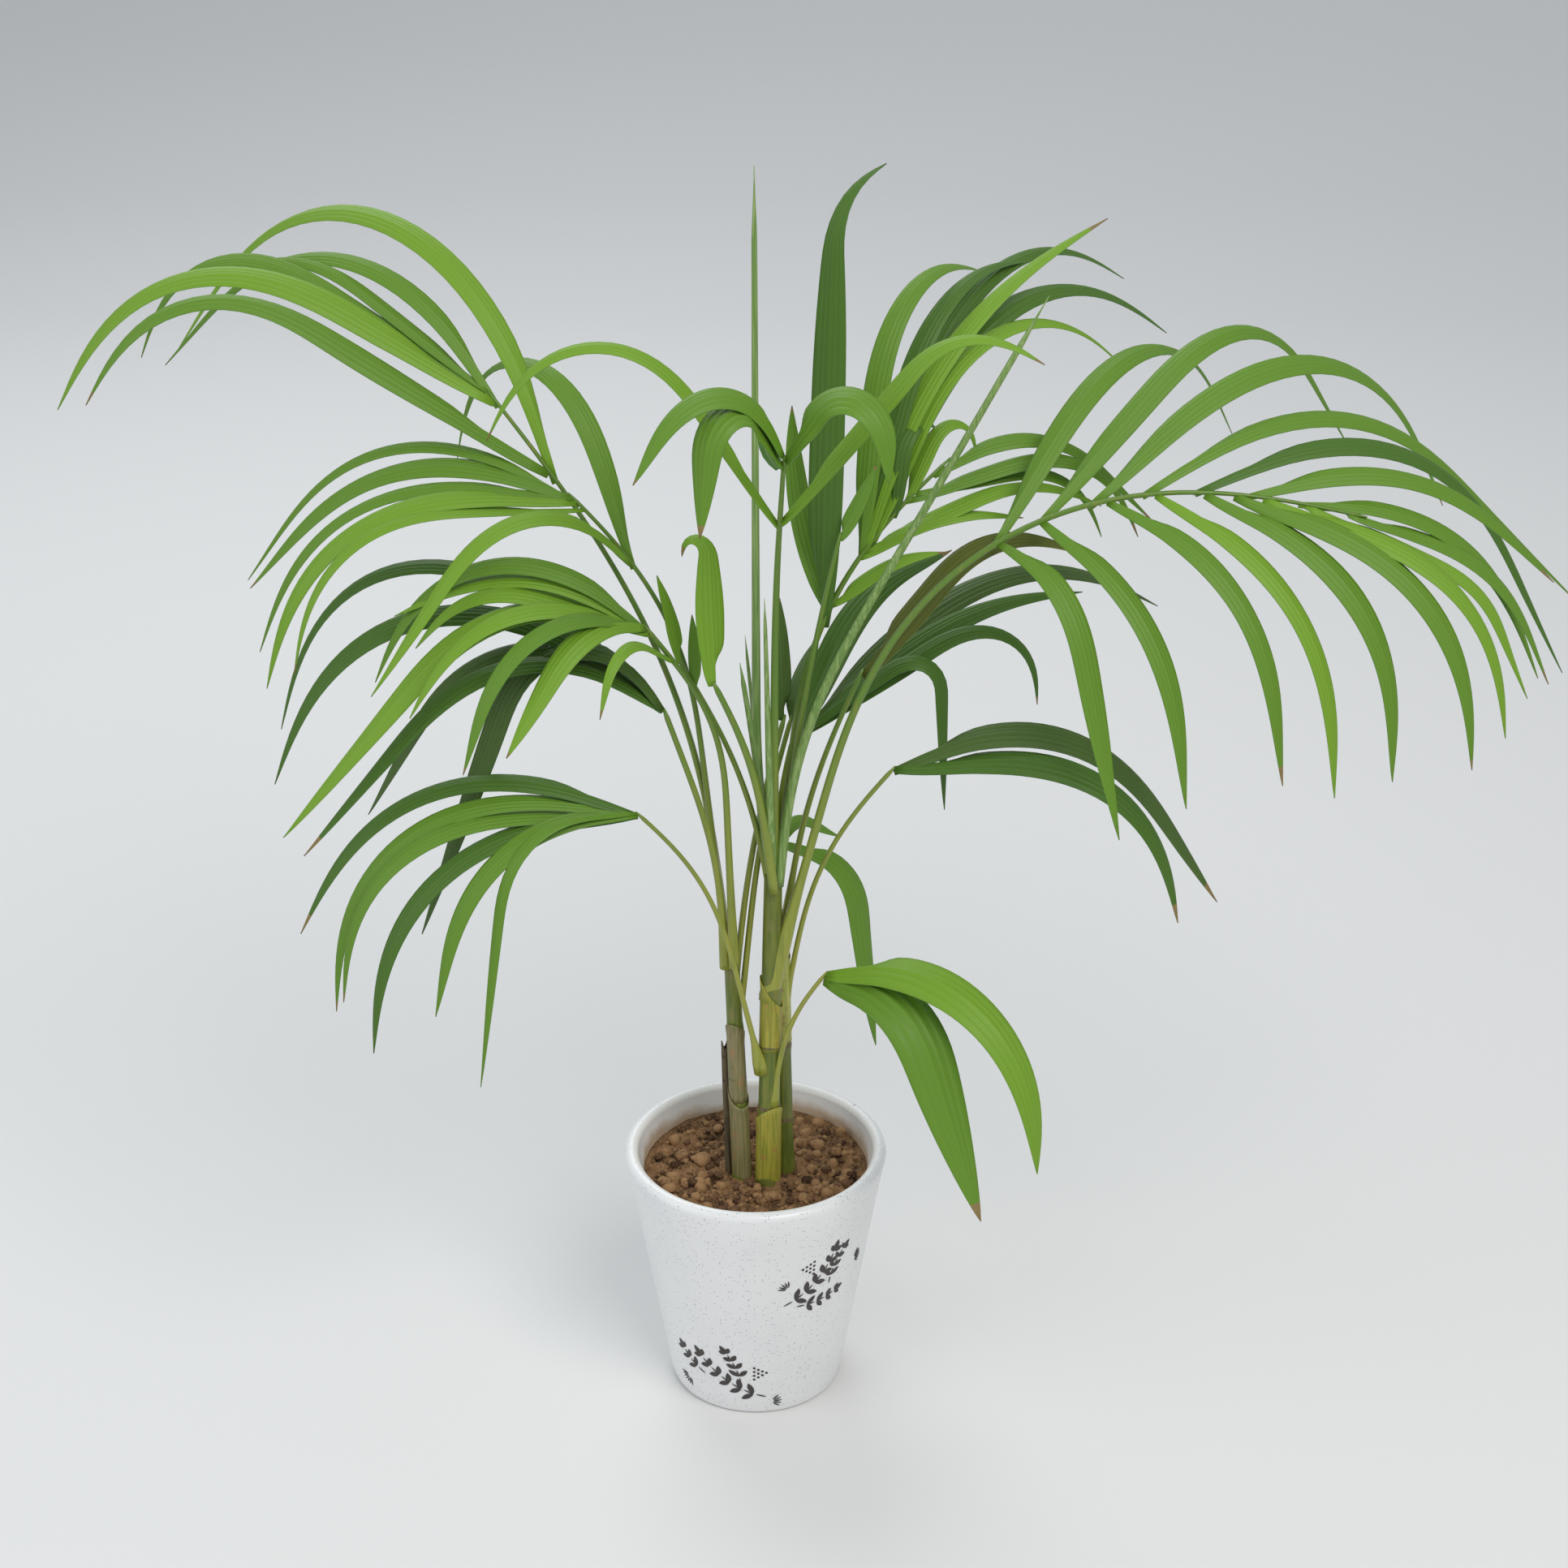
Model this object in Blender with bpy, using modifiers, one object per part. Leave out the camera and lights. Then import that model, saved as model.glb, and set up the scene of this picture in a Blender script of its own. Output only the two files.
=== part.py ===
"""A young areca palm in a speckled white ceramic pot.

Lengths are written in millimetres and angles in degrees. The origin is at the
centre of the pot's flat underside, +Z is up, and the palm's front is at -Y.
Headings turn anticlockwise from +X, seen from above: 0 is right, 90 is back.
"""
import math

import bmesh
import bpy
from mathutils import Vector, noise

MM = 0.001
GAP = 0.3

# Pot and soil
POT_HEIGHT = 153
RIM_RADIUS = 75
FOOT_RADIUS = 49.5
POT_WALL = 8.5
POT_FLOOR = 9
LIP_ROUND = 4
FOOT_ROUND = 3
SOIL_TOP = 138
SOIL_LUMP = 3.2
SOIL_MOUND = 2.0
POT_STEPS = 40
SOIL_STEPS = 32

# Stems: foot on the soil, radii at the foot and at the top, and the way they lean
STEM_FOOT_Z = 136
STEMS = {
    "left": dict(foot=(-7.5, -11.5), radius=(5.0, 4.2), heading=180, rise=88,
                 fall=88, length=145),
    "middle": dict(foot=(7, -15), radius=(6.6, 5.0), heading=0, rise=89,
                   fall=89, length=199),
    "right": dict(foot=(17.5, -3), radius=(4.8, 3.6), heading=180, rise=89,
                  fall=89, length=169),
}
DEAD_SHEATH = dict(
    foot=(-14.8, -6.5), radius=(2.6, 1.8), heading=180, rise=88.5, fall=88.5, length=87)

# A frond's stalk leaves its stem at foot with the slope rise and ends with the
# slope fall; the turn from one to the other lies in the stretch called bend. Below
# the fraction called free it is still wrapped in its stem's bundle. Leaflets are
# listed by their place on the rib, heading, first and last slope, length and width:
# two values are the first and the last leaflet's, with the others in even steps.
FRONDS = {
    "left_high": dict(
        stem="left", foot=(-15, -6, 273), heading=165, rise=86, fall=51, length=353,
        free=0.36, radius=(2.3, 1.0),
        at=(0.83, 0.97, 1.0, 0.98, 0.98, 0.85), leaf_heading=(146, 156, 161, 168, 177, 186),
        leaf_rise=(70, 56, 34, 31, 32, 35), leaf_fall=(-52, -47, -30, -69, -62, -61),
        leaf_length=(370, 260, 175, 240, 280, 285), leaf_width=(15, 13, 9, 12, 18, 18),
        leaf_bend=(0, 0, 0.4, 0.4, 0.25, 0.45), leaf_bend_end=(0.95, 0.9, 1, 1, 1, 1)),
    "left_light": dict(
        stem="left", foot=(-14, -9, 274), heading=172, rise=84, fall=46, length=293,
        bend=(0.43, 1), free=0.42, radius=(2.2, 1.0),
        at=(0.82, 0.97, 0.99, 0.99, 0.98, 0.96, 0.83),
        leaf_heading=(138, 166, 173, 180, 188, 194, 206),
        leaf_rise=(66, 29, 20, 8, 7, 4, 52), leaf_fall=(-78, -55, -50, -71, -76, -79, -53),
        leaf_length=(225, 230, 205, 215, 220, 200, 195),
        leaf_width=(13, 8, 14, 10, 14, 8, 12), leaf_bend=(0.2, 0, 0, 0.1, 0.1, 0.25, 0),
        leaf_bend_end=(1, 0.9, 0.9, 1, 1, 1, 0.7)),
    "left_dark": dict(
        stem="left", foot=(-16, -14, 276), heading=188, rise=88, fall=72, length=162,
        bend=(0.05, 0.8), free=0.22, radius=(2.3, 1.6),
        at=(1.0, 1.0), leaf_heading=(163, 175, 183, 194, 187), leaf_rise=(41, 42, 44, 40, 62),
        leaf_fall=(-75, -70, -61, -48, -70), leaf_length=(305, 280, 215, 240, 255),
        leaf_width=(14, 16, 16, 14, 17), leaf_bend=(0.1, 0, 0, 0, 0),
        leaf_bend_end=(1, 1, 0.8, 0.7, 0.5)),
    "left_fan": dict(
        stem="left", foot=(-11, -17, 278), heading=196, rise=88, fall=55, length=219,
        bend=(0.43, 0.92), free=0.1, radius=(2.3, 1.4),
        at=(0.97, 0.97, 0.98, 0.98, 0.99, 0.99, 1.0, 0.88),
        leaf_heading=(178, 179, 185, 192, 201, 212, 224, 238),
        leaf_rise=(45, 39, 21, 27, 23, 27, 21, 35),
        leaf_fall=(-68, -28, -54, -49, -59, -72, -48, -68),
        leaf_length=(190, 145, 135, 245, 150, 150, 115, 88),
        leaf_width=(12, 12, 14, 16, 12, 12, 15, 8),
        leaf_bend=(0, 0, 0.35, 0, 0.1, 0, 0, 0.25),
        leaf_bend_end=(1, 0.95, 1, 0.6, 1, 0.9, 0.65, 0.9)),
    "left_inner": dict(
        stem="middle", foot=(10, -15, 313), heading=178, rise=82, fall=61, length=157,
        free=0.45, radius=(2.0, 1.2), at=(0.98, 0.88),
        leaf_heading=(170, 110), leaf_rise=(82, 84), leaf_fall=(70, 84),
        leaf_length=(50, 40), leaf_width=(9, 7)),
    "left_low": dict(
        stem="middle", foot=(4, -18, 212), heading=205, rise=77, fall=49, length=193,
        bend=(0.34, 1), free=0.12, radius=(1.7, 1.2),
        at=(0.99, 1.0), leaf_heading=(182, 187, 193, 200, 208, 216),
        leaf_rise=(24, 14, 5, 4, 11, 11), leaf_fall=(-65, -86, -85, -85, -77, -80),
        leaf_length=(225, 240, 220, 220, 175, 205), leaf_width=(14, 12, 12, 14, 13, 7),
        leaf_bend=(0, 0.05, 0.2, 0.05, 0, 0.1), leaf_bend_end=(1, 1, 1, 1, 0.9, 0.55)),
    "middle_young": dict(
        stem="middle", foot=(11, -22, 327), heading=203, rise=83, fall=65, length=135,
        bend=(0.14, 1), free=0.38, radius=(2.8, 1.6),
        at=(0.98,), leaf_heading=(159,), leaf_rise=(88,), leaf_fall=(-88,), leaf_length=(99,),
        leaf_width=(17,), leaf_bend=(0.7,), leaf_bend_end=(1,)),
    "front": dict(
        stem="middle", foot=(11, -17, 329), heading=-86, rise=88, fall=55, length=290,
        bend=(0.28, 0.87), free=0.3, radius=(2.7, 1.1),
        at=(0.8, 0.81, 1.0, 0.97, 0.99), leaf_heading=(183, -13, 209, 222, -28),
        leaf_rise=(58, 52, 70, 58, 59), leaf_fall=(-66, -31, -57, -84, -86),
        leaf_length=(212, 177, 115, 116, 102), leaf_width=(12, 15, 15, 20, 21),
        leaf_bend=(0.3, 0.55, 0, 0.2, 0.2), leaf_bend_end=(1, 1, 0.9, 0.7, 0.9)),
    "little": dict(
        stem="middle", foot=(14, -14.5, 327), heading=15, rise=84, fall=77, length=204,
        bend=(0.08, 1), free=0.4, radius=(2.2, 1.2),
        at=(0.98,), leaf_heading=(20,), leaf_rise=(61,), leaf_fall=(62,), leaf_length=(43,),
        leaf_width=(10,)),
    "back": dict(
        stem="middle", foot=(13, -9, 325), heading=25, rise=84, fall=37, length=263,
        bend=(0.25, 1), free=0.3, radius=(2.4, 1.0),
        at=(0.61, 0.57, 0.73, 0.73, 0.74, 0.74, 0.75, 0.77, 0.83, 0.87),
        leaf_heading=(120, 43, 56, 49, 50, 36, 40, 33, 47, 34),
        leaf_rise=(55, 88, 80, 69, 61, 70, 63, 63, 84, 60),
        leaf_fall=(85, 14, -23, -13, -31, 17, -37, -44, -56, -86),
        leaf_length=(110, 258, 220, 225, 305, 235, 290, 230, 82, 80),
        leaf_width=(15, 20, 14, 13, 12, 13, 18, 12, 14, 10),
        leaf_bend=(0.1, 0.75, 0.3, 0.3, 0.15, 0, 0.1, 0.2, 0.3, 0.35)),
    "back_right": dict(
        rib_of="back",
        at=(0.62, 0.73, 0.75, 0.88, 0.95, 0.9), leaf_heading=(5, 10, 12, 14, 19, 17),
        leaf_rise=(37, 28, 21, 14, 27, 5), leaf_fall=(4, -11, -29, -69, -47, -71),
        leaf_length=(67, 92, 136, 155, 153, 128), leaf_width=(10, 10, 11, 11, 12, 10),
        leaf_bend=(0.25, 0.1, 0.4, 0.3, 0, 0.35), leaf_bend_end=(1, 1, 1, 1, 0.8, 1)),
    "right_big": dict(
        stem="middle", foot=(7, -15, 257), heading=0, rise=76, fall=-13, length=497,
        bend=(0.23, 1), free=0.2, radius=(2.9, 0.9),
        at=(0.6, 0.98), leaf_heading=(51, 40, 32, 24, 18, 12, 8, 4),
        leaf_rise=(41, 33, 33, 26, 19, 12, -4, -20),
        leaf_fall=(-52, -53, -60, -44, -61, -45, -67, -66),
        leaf_length=(290, 300, 310, 340, 305, 200, 190, 160),
        leaf_width=(15, 15, 15, 14, 14, 13, 12, 12), leaf_bend=(0.15, 0.3, 0.1, 0, 0, 0, 0, 0.2),
        leaf_bend_end=(0.95, 0.85, 0.95, 0.7, 0.8, 0.9, 0.95, 0.9)),
    "right_big_front": dict(
        rib_of="right_big",
        at=(0.61, 0.66, 0.73, 0.78, 0.83, 0.86, 0.89, 0.935),
        leaf_heading=(-50, -42, -38, -33, -28, -22, -17, -10),
        leaf_rise=(-5, -20, -9, -17, -17, -13, -15, -22),
        leaf_fall=(-72, -81, -82, -85, -86, -84, -82, -66),
        leaf_length=(180, 178, 190, 198, 196, 208, 195, 165),
        leaf_width=(15, 15, 15, 15, 16, 16, 15, 13), leaf_bend=(0, 0, 0, 0, 0.05, 0.1, 0.2, 0.4),
        leaf_bend_end=(0.52, 0.9, 0.9, 0.95, 0.95, 1, 1, 0.8)),
    "right_olive": dict(
        stem="right", foot=(17, -5, 298), heading=8, rise=83, fall=66, length=157,
        free=0.25, radius=(2.0, 1.3),
        at=(0.98,), leaf_heading=(0,), leaf_rise=(53,), leaf_fall=(-24,), leaf_length=(150,),
        leaf_width=(20,), leaf_bend=(0.4,)),
    "right_fan": dict(
        stem="middle", foot=(12, -5, 323), heading=65, rise=84, fall=56, length=85,
        bend=(0.22, 1), free=0.3, radius=(2.6, 2.0),
        at=(0.98, 1.0), leaf_heading=(48, 32, 20, 8, -3), leaf_rise=(50, 34, 33, 33, 38),
        leaf_fall=(1, -34, -5, -88, -88), leaf_length=(160, 275, 185, 180, 175),
        leaf_width=(18, 18, 15, 13, 11), leaf_bend=(0.25, 0.15, 0.3, 0.45, 0.35),
        leaf_bend_end=(0.85, 1, 1, 1, 0.62)),
    "back_dark": dict(
        stem="left", foot=(-10, -7, 268), heading=25, rise=84, fall=74, length=155,
        free=0.15, radius=(1.9, 1.5),
        at=(0.98,), leaf_heading=(150,), leaf_rise=(88,), leaf_fall=(88,), leaf_length=(70,),
        leaf_width=(12,)),
    "back_narrow": dict(
        stem="left", foot=(-7, -9.5, 254), heading=19, rise=84, fall=74, length=171,
        bend=(0.23, 1), free=0.15, radius=(1.9, 1.4),
        at=(0.98,), leaf_heading=(70,), leaf_rise=(46,), leaf_fall=(23,), leaf_length=(55,),
        leaf_width=(12,)),
    "right_mid": dict(
        stem="right", foot=(15, -3, 237), heading=-8, rise=80, fall=52, length=174,
        bend=(0.22, 1), free=0.2, radius=(1.8, 1.3),
        at=(0.99, 1.0), leaf_heading=(1, -9), leaf_rise=(27, 10), leaf_fall=(-58, -80),
        leaf_length=(230, 208), leaf_width=(19, 19), leaf_bend=(0, 0.15),
        leaf_bend_end=(0.8, 1)),
    "right_low": dict(
        stem="middle", foot=(10, -18, 189), heading=-25, rise=83, fall=56, length=101,
        bend=(0.1, 1), free=0.32, radius=(1.7, 1.3),
        at=(0.99, 1.0), leaf_heading=(-46, -34), leaf_rise=(9, 25), leaf_fall=(-64, -87),
        leaf_length=(180, 201), leaf_width=(31, 26), leaf_bend=(0.1, 0),
        leaf_bend_end=(0.55, 1)),
    "back_low": dict(
        stem="middle", foot=(12, -7, 315), heading=80, rise=65, fall=50, length=32,
        free=0.5, radius=(2.0, 1.6),
        at=(0.97, 1.0), leaf_heading=(35, 8), leaf_rise=(70, -17), leaf_fall=(-37, -84),
        leaf_length=(50, 157), leaf_width=(9, 18), leaf_bend_end=(0.55, 0.5)),
}

# Closed young leaves that stand as spears
SPEARS = {
    "tall_spear": dict(
        foot=(10, -15, 328), heading=175, rise=82, fall=90, length=393, bend=(0, 0.3),
        free=0.15, radius=(2.9, 1.4)),
    "leaning_spear": dict(
        foot=(13, -18, 329), heading=0, rise=85, fall=62, length=358, bend=(0, 0.5),
        free=0.2, radius=(3.0, 1.6)),
    "short_spear_left": dict(
        foot=(10, -17, 329), heading=215, rise=83, fall=80, length=137,
        free=0.4, radius=(2.4, 1.2)),
    "short_spear_middle": dict(
        foot=(11, -14, 327), heading=140, rise=81, fall=83, length=143,
        free=0.5, radius=(2.0, 0.7)),
    "short_spear_right": dict(
        foot=(11, -15, 328), heading=-100, rise=76, fall=83, length=180, bend=(0.1, 0.35),
        free=0.3, radius=(2.6, 0.8)),
}

# Fractions of a leaflet's length where its section is set, and its width there
LEAF_STATIONS = (0, 0.12, 0.3, 0.5, 0.7, 0.87, 1)
LEAF_WIDTHS = (0.26, 0.6, 0.95, 1, 0.8, 0.45, 0.12)
LEAF_THICKNESS = 2.4
STALK_STEP = 28
STALK_MARGIN = 0.05
SHORTEST_STALK = 55
ARCH_STEPS = 96

COLOURS = {
    "glaze": ((0.80, 0.79, 0.75), 0.3),
    "soil": ((0.16, 0.085, 0.045), 0.95),
    "stem": ((0.30, 0.33, 0.06), 0.5),
    "dry": ((0.16, 0.10, 0.05), 0.8),
    "stalk": ((0.26, 0.32, 0.05), 0.45),
    "leaf": ((0.10, 0.26, 0.03), 0.4),
    "dark_leaf": ((0.04, 0.14, 0.04), 0.4),
}
DARK_FRONDS = ("left_dark", "right_fan", "back_dark", "back_narrow", "right_mid")


# Scene and materials

for old in list(bpy.data.objects):
    bpy.data.objects.remove(old)

parts = bpy.data.collections.new("potted_areca_palm")
cutters = bpy.data.collections.new("cutters")
bpy.context.scene.collection.children.link(parts)
bpy.context.scene.collection.children.link(cutters)


def make_material(name):
    """A Principled material with the part's colour and roughness."""
    colour, roughness = COLOURS[name]
    material = bpy.data.materials.new(name)
    material.use_nodes = True
    shader = material.node_tree.nodes["Principled BSDF"]
    shader.inputs["Base Color"].default_value = (*colour, 1)
    shader.inputs["Roughness"].default_value = roughness
    shader.inputs["Metallic"].default_value = 0
    material.diffuse_color = (*colour, 1)
    return material


MATERIALS = {name: make_material(name) for name in COLOURS}


def add_object(name, data, collection=parts):
    """Links a new object that shows the data."""
    new = bpy.data.objects.new(name, data)
    collection.objects.link(new)
    return new


def finish_object(part, material):
    """Gives a part its material and smooth shading with sharp rims."""
    part.data.materials.clear()
    part.data.materials.append(MATERIALS[material])
    part.data.shade_smooth()
    part.data.set_sharp_from_angle(angle=math.radians(40))


def mesh_from(source, name):
    """Turns a curve or a modified object into a mesh object with welded caps."""
    depsgraph = bpy.context.evaluated_depsgraph_get()
    mesh = bpy.data.meshes.new_from_object(source.evaluated_get(depsgraph))
    shape = bmesh.new()
    shape.from_mesh(mesh)
    bmesh.ops.remove_doubles(shape, verts=shape.verts, dist=0.000001)
    shape.to_mesh(mesh)
    shape.free()
    placed = source.matrix_world.copy()
    bpy.data.objects.remove(source)
    made = add_object(name, mesh)
    made.matrix_world = placed
    return made


def islands(shape):
    """The connected groups of faces in a mesh, largest enclosed volume first."""
    left, groups = set(shape.faces), []
    while left:
        front, group = [left.pop()], []
        while front:
            face = front.pop()
            group.append(face)
            near = {other for edge in face.edges for other in edge.link_faces if other in left}
            left -= near
            front.extend(near)
        groups.append(group)
    return sorted(groups, key=enclosed_volume, reverse=True)


def enclosed_volume(faces):
    """Signed volume inside a closed group of faces, in cubic metres."""
    total = 0
    for face in faces:
        first, *rest = [corner.co for corner in face.verts]
        for second, third in zip(rest, rest[1:]):
            total += first.dot(second.cross(third)) / 6
    return total


def drop_scraps(mesh):
    """Keeps the one main body: a sealed hollow is filled and a loose scrap goes."""
    shape = bmesh.new()
    shape.from_mesh(mesh)
    scraps = islands(shape)[1:]
    for scrap in scraps:
        bmesh.ops.delete(shape, geom=scrap, context="FACES")
    shape.to_mesh(mesh)
    shape.free()


def fuse(name, pieces, material):
    """Joins overlapping pieces into one closed body."""
    base, *others = pieces
    if others:
        group = bpy.data.collections.new(name + "_pieces")
        bpy.context.scene.collection.children.link(group)
        for piece in others:
            parts.objects.unlink(piece)
            group.objects.link(piece)
        union = base.modifiers.new("union", "BOOLEAN")
        union.operation = "UNION"
        union.operand_type = "COLLECTION"
        union.collection = group
        union.solver = "EXACT"
        base = mesh_from(base, name)
        for piece in others:
            bpy.data.objects.remove(piece)
        bpy.data.collections.remove(group)
        drop_scraps(base.data)
    base.name = name
    finish_object(base, material)
    return base


# Turned shapes

def quarter(centre, radius, start, stop, steps=3):
    """Points on a round edge, from one angle to another, in (radius, height)."""
    angles = [math.radians(start + (stop - start) * i / steps) for i in range(steps + 1)]
    return [(centre[0] + radius * math.cos(a), centre[1] + radius * math.sin(a)) for a in angles]


def turned(name, profile, steps, material):
    """Turns a profile, listed down its outer side, about the Z axis."""
    mesh = bpy.data.meshes.new(name)
    points = [(r * MM, 0, z * MM) for r, z in profile]
    mesh.from_pydata(points, [(i, i + 1) for i in range(len(points) - 1)], [])
    part = add_object(name, mesh)
    screw = part.modifiers.new("turn", "SCREW")
    screw.steps = steps
    screw.render_steps = steps
    screw.use_merge_vertices = True
    screw.merge_threshold = 0.00005
    made = mesh_from(part, name)
    finish_object(made, material)
    return made


def inner_radius(height):
    """Radius of the pot's inside at a height."""
    slope = (RIM_RADIUS - FOOT_RADIUS) / POT_HEIGHT
    return FOOT_RADIUS - POT_WALL + slope * height


def make_pot():
    """A plain tapered pot with a rounded lip and a flat foot."""
    lip = quarter((RIM_RADIUS - LIP_ROUND, POT_HEIGHT - LIP_ROUND), LIP_ROUND, 180, 0, 6)
    foot = quarter((FOOT_RADIUS - FOOT_ROUND, FOOT_ROUND), FOOT_ROUND, -15, -90)
    inside = [(0, POT_FLOOR), (inner_radius(POT_FLOOR) - 4, POT_FLOOR),
              (inner_radius(POT_FLOOR + 4), POT_FLOOR + 4)]
    profile = inside + lip + foot + [(0, 0)]
    return turned("pot", profile, POT_STEPS, "glaze")


def soil_height(x, y):
    """Height of the lumpy soil: a low mound round the stems."""
    spot = Vector((x, y, 0)) / 11
    lumps = noise.noise(spot) + 0.5 * noise.noise(spot * 2.3)
    mound = SOIL_MOUND * math.exp(-(x * x + y * y) / 900)
    return SOIL_TOP + mound + SOIL_LUMP * lumps


def make_soil():
    """Potting soil that fills the pot, with seats cut for the stems."""
    rings = 5
    edge = inner_radius(SOIL_TOP) - 0.6
    top = [(edge * i / rings, SOIL_TOP) for i in range(rings + 1)]
    side = [(inner_radius(POT_FLOOR + 4) - 0.5, POT_FLOOR + 4.5),
            (inner_radius(POT_FLOOR) - 4.5, POT_FLOOR + GAP), (0, POT_FLOOR + GAP)]
    soil = turned("soil", top + side, SOIL_STEPS, "soil")
    for corner in soil.data.vertices:
        if corner.co.z > (SOIL_TOP - 1) * MM:
            x, y = corner.co.x / MM, corner.co.y / MM
            height = soil_height(x, y)
            if math.hypot(x, y) > edge - 1:
                height = SOIL_TOP + (height - SOIL_TOP) * 0.2
            corner.co.z = height * MM
    for name, (x, y), radius in stem_seats():
        cut = soil.modifiers.new("seat_" + name, "BOOLEAN")
        cut.operation = "DIFFERENCE"
        cut.solver = "EXACT"
        cut.object = make_seat_cutter(name, x, y, radius)
    return soil


def stem_seats():
    """Name, place and radius of each flat seat in the soil."""
    seats = [(name, stem["foot"], stem["radius"][0]) for name, stem in STEMS.items()]
    seats.append(("sheath", DEAD_SHEATH["foot"], DEAD_SHEATH["radius"][0]))
    return seats


def make_seat_cutter(name, x, y, radius):
    """A cylinder that leaves a flat seat just under a stem's foot."""
    depth = 20
    shape = bmesh.new()
    bmesh.ops.create_cone(
        shape, cap_ends=True, segments=12, radius1=(radius + 1) * MM, radius2=(radius + 1) * MM,
        depth=depth * MM)
    mesh = bpy.data.meshes.new("cut_" + name)
    shape.to_mesh(mesh)
    shape.free()
    cutter = add_object("cut_" + name, mesh, cutters)
    cutter.location = (x * MM, y * MM, (STEM_FOOT_Z - GAP + depth / 2) * MM)
    cutter.hide_render = True
    cutter.display_type = "WIRE"
    return cutter


# Stems, stalks and leaflets

def smooth(t):
    """Eases from 0 to 1."""
    t = min(max(t, 0), 1)
    return t * t * (3 - 2 * t)


def arch(foot, heading, rise, fall, length, fractions, bend=(0, 1)):
    """Points on a limb that keeps one heading while its slope turns from rise to
    fall between the bend's two fractions of its length."""
    turn = math.radians(heading)
    points = [Vector(foot)]
    for i in range(ARCH_STEPS):
        eased = smooth(((i + 0.5) / ARCH_STEPS - bend[0]) / (bend[1] - bend[0]))
        slope = math.radians(rise + (fall - rise) * eased)
        run = Vector((math.cos(turn) * math.cos(slope), math.sin(turn) * math.cos(slope),
                      math.sin(slope)))
        points.append(points[-1] + run * (length / ARCH_STEPS))
    places = []
    for fraction in fractions:
        low = min(int(fraction * ARCH_STEPS), ARCH_STEPS - 1)
        places.append(points[low].lerp(points[low + 1], fraction * ARCH_STEPS - low))
    return places


def tube(name, points, radii):
    """A round tapered limb with flat ends, as a mesh."""
    curve = bpy.data.curves.new(name, "CURVE")
    curve.dimensions = "3D"
    curve.bevel_depth = MM
    curve.bevel_resolution = 1
    curve.use_fill_caps = True
    spline = curve.splines.new("POLY")
    spline.points.add(len(points) - 1)
    for knot, place, radius in zip(spline.points, points, radii):
        knot.co = (*(place * MM), 1)
        knot.radius = radius
    return mesh_from(add_object(name, curve), name)


def leaf_section(width, thickness):
    """Closed outline of a leaflet's section: thin, and higher along the midrib."""
    outline = bpy.data.curves.new("leaf_section", "CURVE")
    outline.dimensions = "2D"
    half, droop = width / 2, width * 0.1
    corners = [(half, -droop), (0, -thickness / 2), (-half, -droop), (0, thickness / 2)]
    spline = outline.splines.new("POLY")
    spline.points.add(len(corners) - 1)
    for knot, (x, y) in zip(spline.points, corners):
        knot.co = (x * MM, y * MM, 0, 1)
    spline.use_cyclic_u = True
    return add_object("leaf_section", outline)


def leaflet(foot, heading, rise, fall, length, width, bend):
    """One leaflet: a thin keeled blade along an arch, widest before its middle."""
    section = leaf_section(width, max(LEAF_THICKNESS, length / 90))
    curve = bpy.data.curves.new("leaflet", "CURVE")
    curve.dimensions = "3D"
    curve.twist_mode = "Z_UP"
    curve.bevel_mode = "OBJECT"
    curve.bevel_object = section
    curve.use_fill_caps = True
    points = arch(foot, heading, rise, fall, length, LEAF_STATIONS, bend)
    spline = curve.splines.new("POLY")
    spline.points.add(len(points) - 1)
    for knot, place, share in zip(spline.points, points, LEAF_WIDTHS):
        knot.co = (*(place * MM), 1)
        knot.radius = share
    blade = mesh_from(add_object("leaflet", curve), "leaflet")
    bpy.data.objects.remove(section)
    return blade


def limb_points(limb, start, stop):
    """Fractions and points of a limb's stretch, about STALK_STEP apart."""
    count = max(2, round((stop - start) * limb["length"] / STALK_STEP)) + 1
    fractions = [start + (stop - start) * i / (count - 1) for i in range(count)]
    points = arch(limb["foot"], limb["heading"], limb["rise"], limb["fall"], limb["length"],
                  fractions, limb.get("bend", (0, 1)))
    return fractions, points


def limb_tube(name, limb, start, stop):
    """The stretch of a limb between two fractions of its length, as a tube."""
    fractions, points = limb_points(limb, start, stop)
    thick, thin = limb["radius"]
    return tube(name, points, [thick + (thin - thick) * f for f in fractions])


def spread(values, count):
    """One value for each leaflet; a pair gives the first and the last."""
    if len(values) == count:
        return values
    first, last = values
    return [first + (last - first) * i / (count - 1) for i in range(count)]


def leaflets(frond, limb):
    """All leaflets of a frond, from places on its rib."""
    count = len(frond["leaf_length"])
    rows = zip(
        spread(frond["at"], count), spread(frond["leaf_heading"], count),
        spread(frond["leaf_rise"], count), spread(frond["leaf_fall"], count),
        frond["leaf_length"], frond["leaf_width"],
        spread(frond.get("leaf_bend", (0, 0) if count > 1 else (0,)), count),
        spread(frond.get("leaf_bend_end", (1, 1) if count > 1 else (1,)), count))
    blades = []
    for at, heading, rise, fall, length, width, bend, bend_end in rows:
        foot, = arch(limb["foot"], limb["heading"], limb["rise"], limb["fall"], limb["length"],
                     [at], limb.get("bend", (0, 1)))
        blades.append(leaflet(foot, heading, rise, fall, length, width, (bend, bend_end)))
    return blades


def bundles(stem_name):
    """Wrapped lower stretches of the stalks and spears that leave one stem."""
    limbs = [(name, limb) for name, limb in FRONDS.items() if limb.get("stem") == stem_name]
    if stem_name == "middle":
        limbs += SPEARS.items()
    return [limb_tube(name, limb, 0, limb["free"]) for name, limb in limbs]


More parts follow.
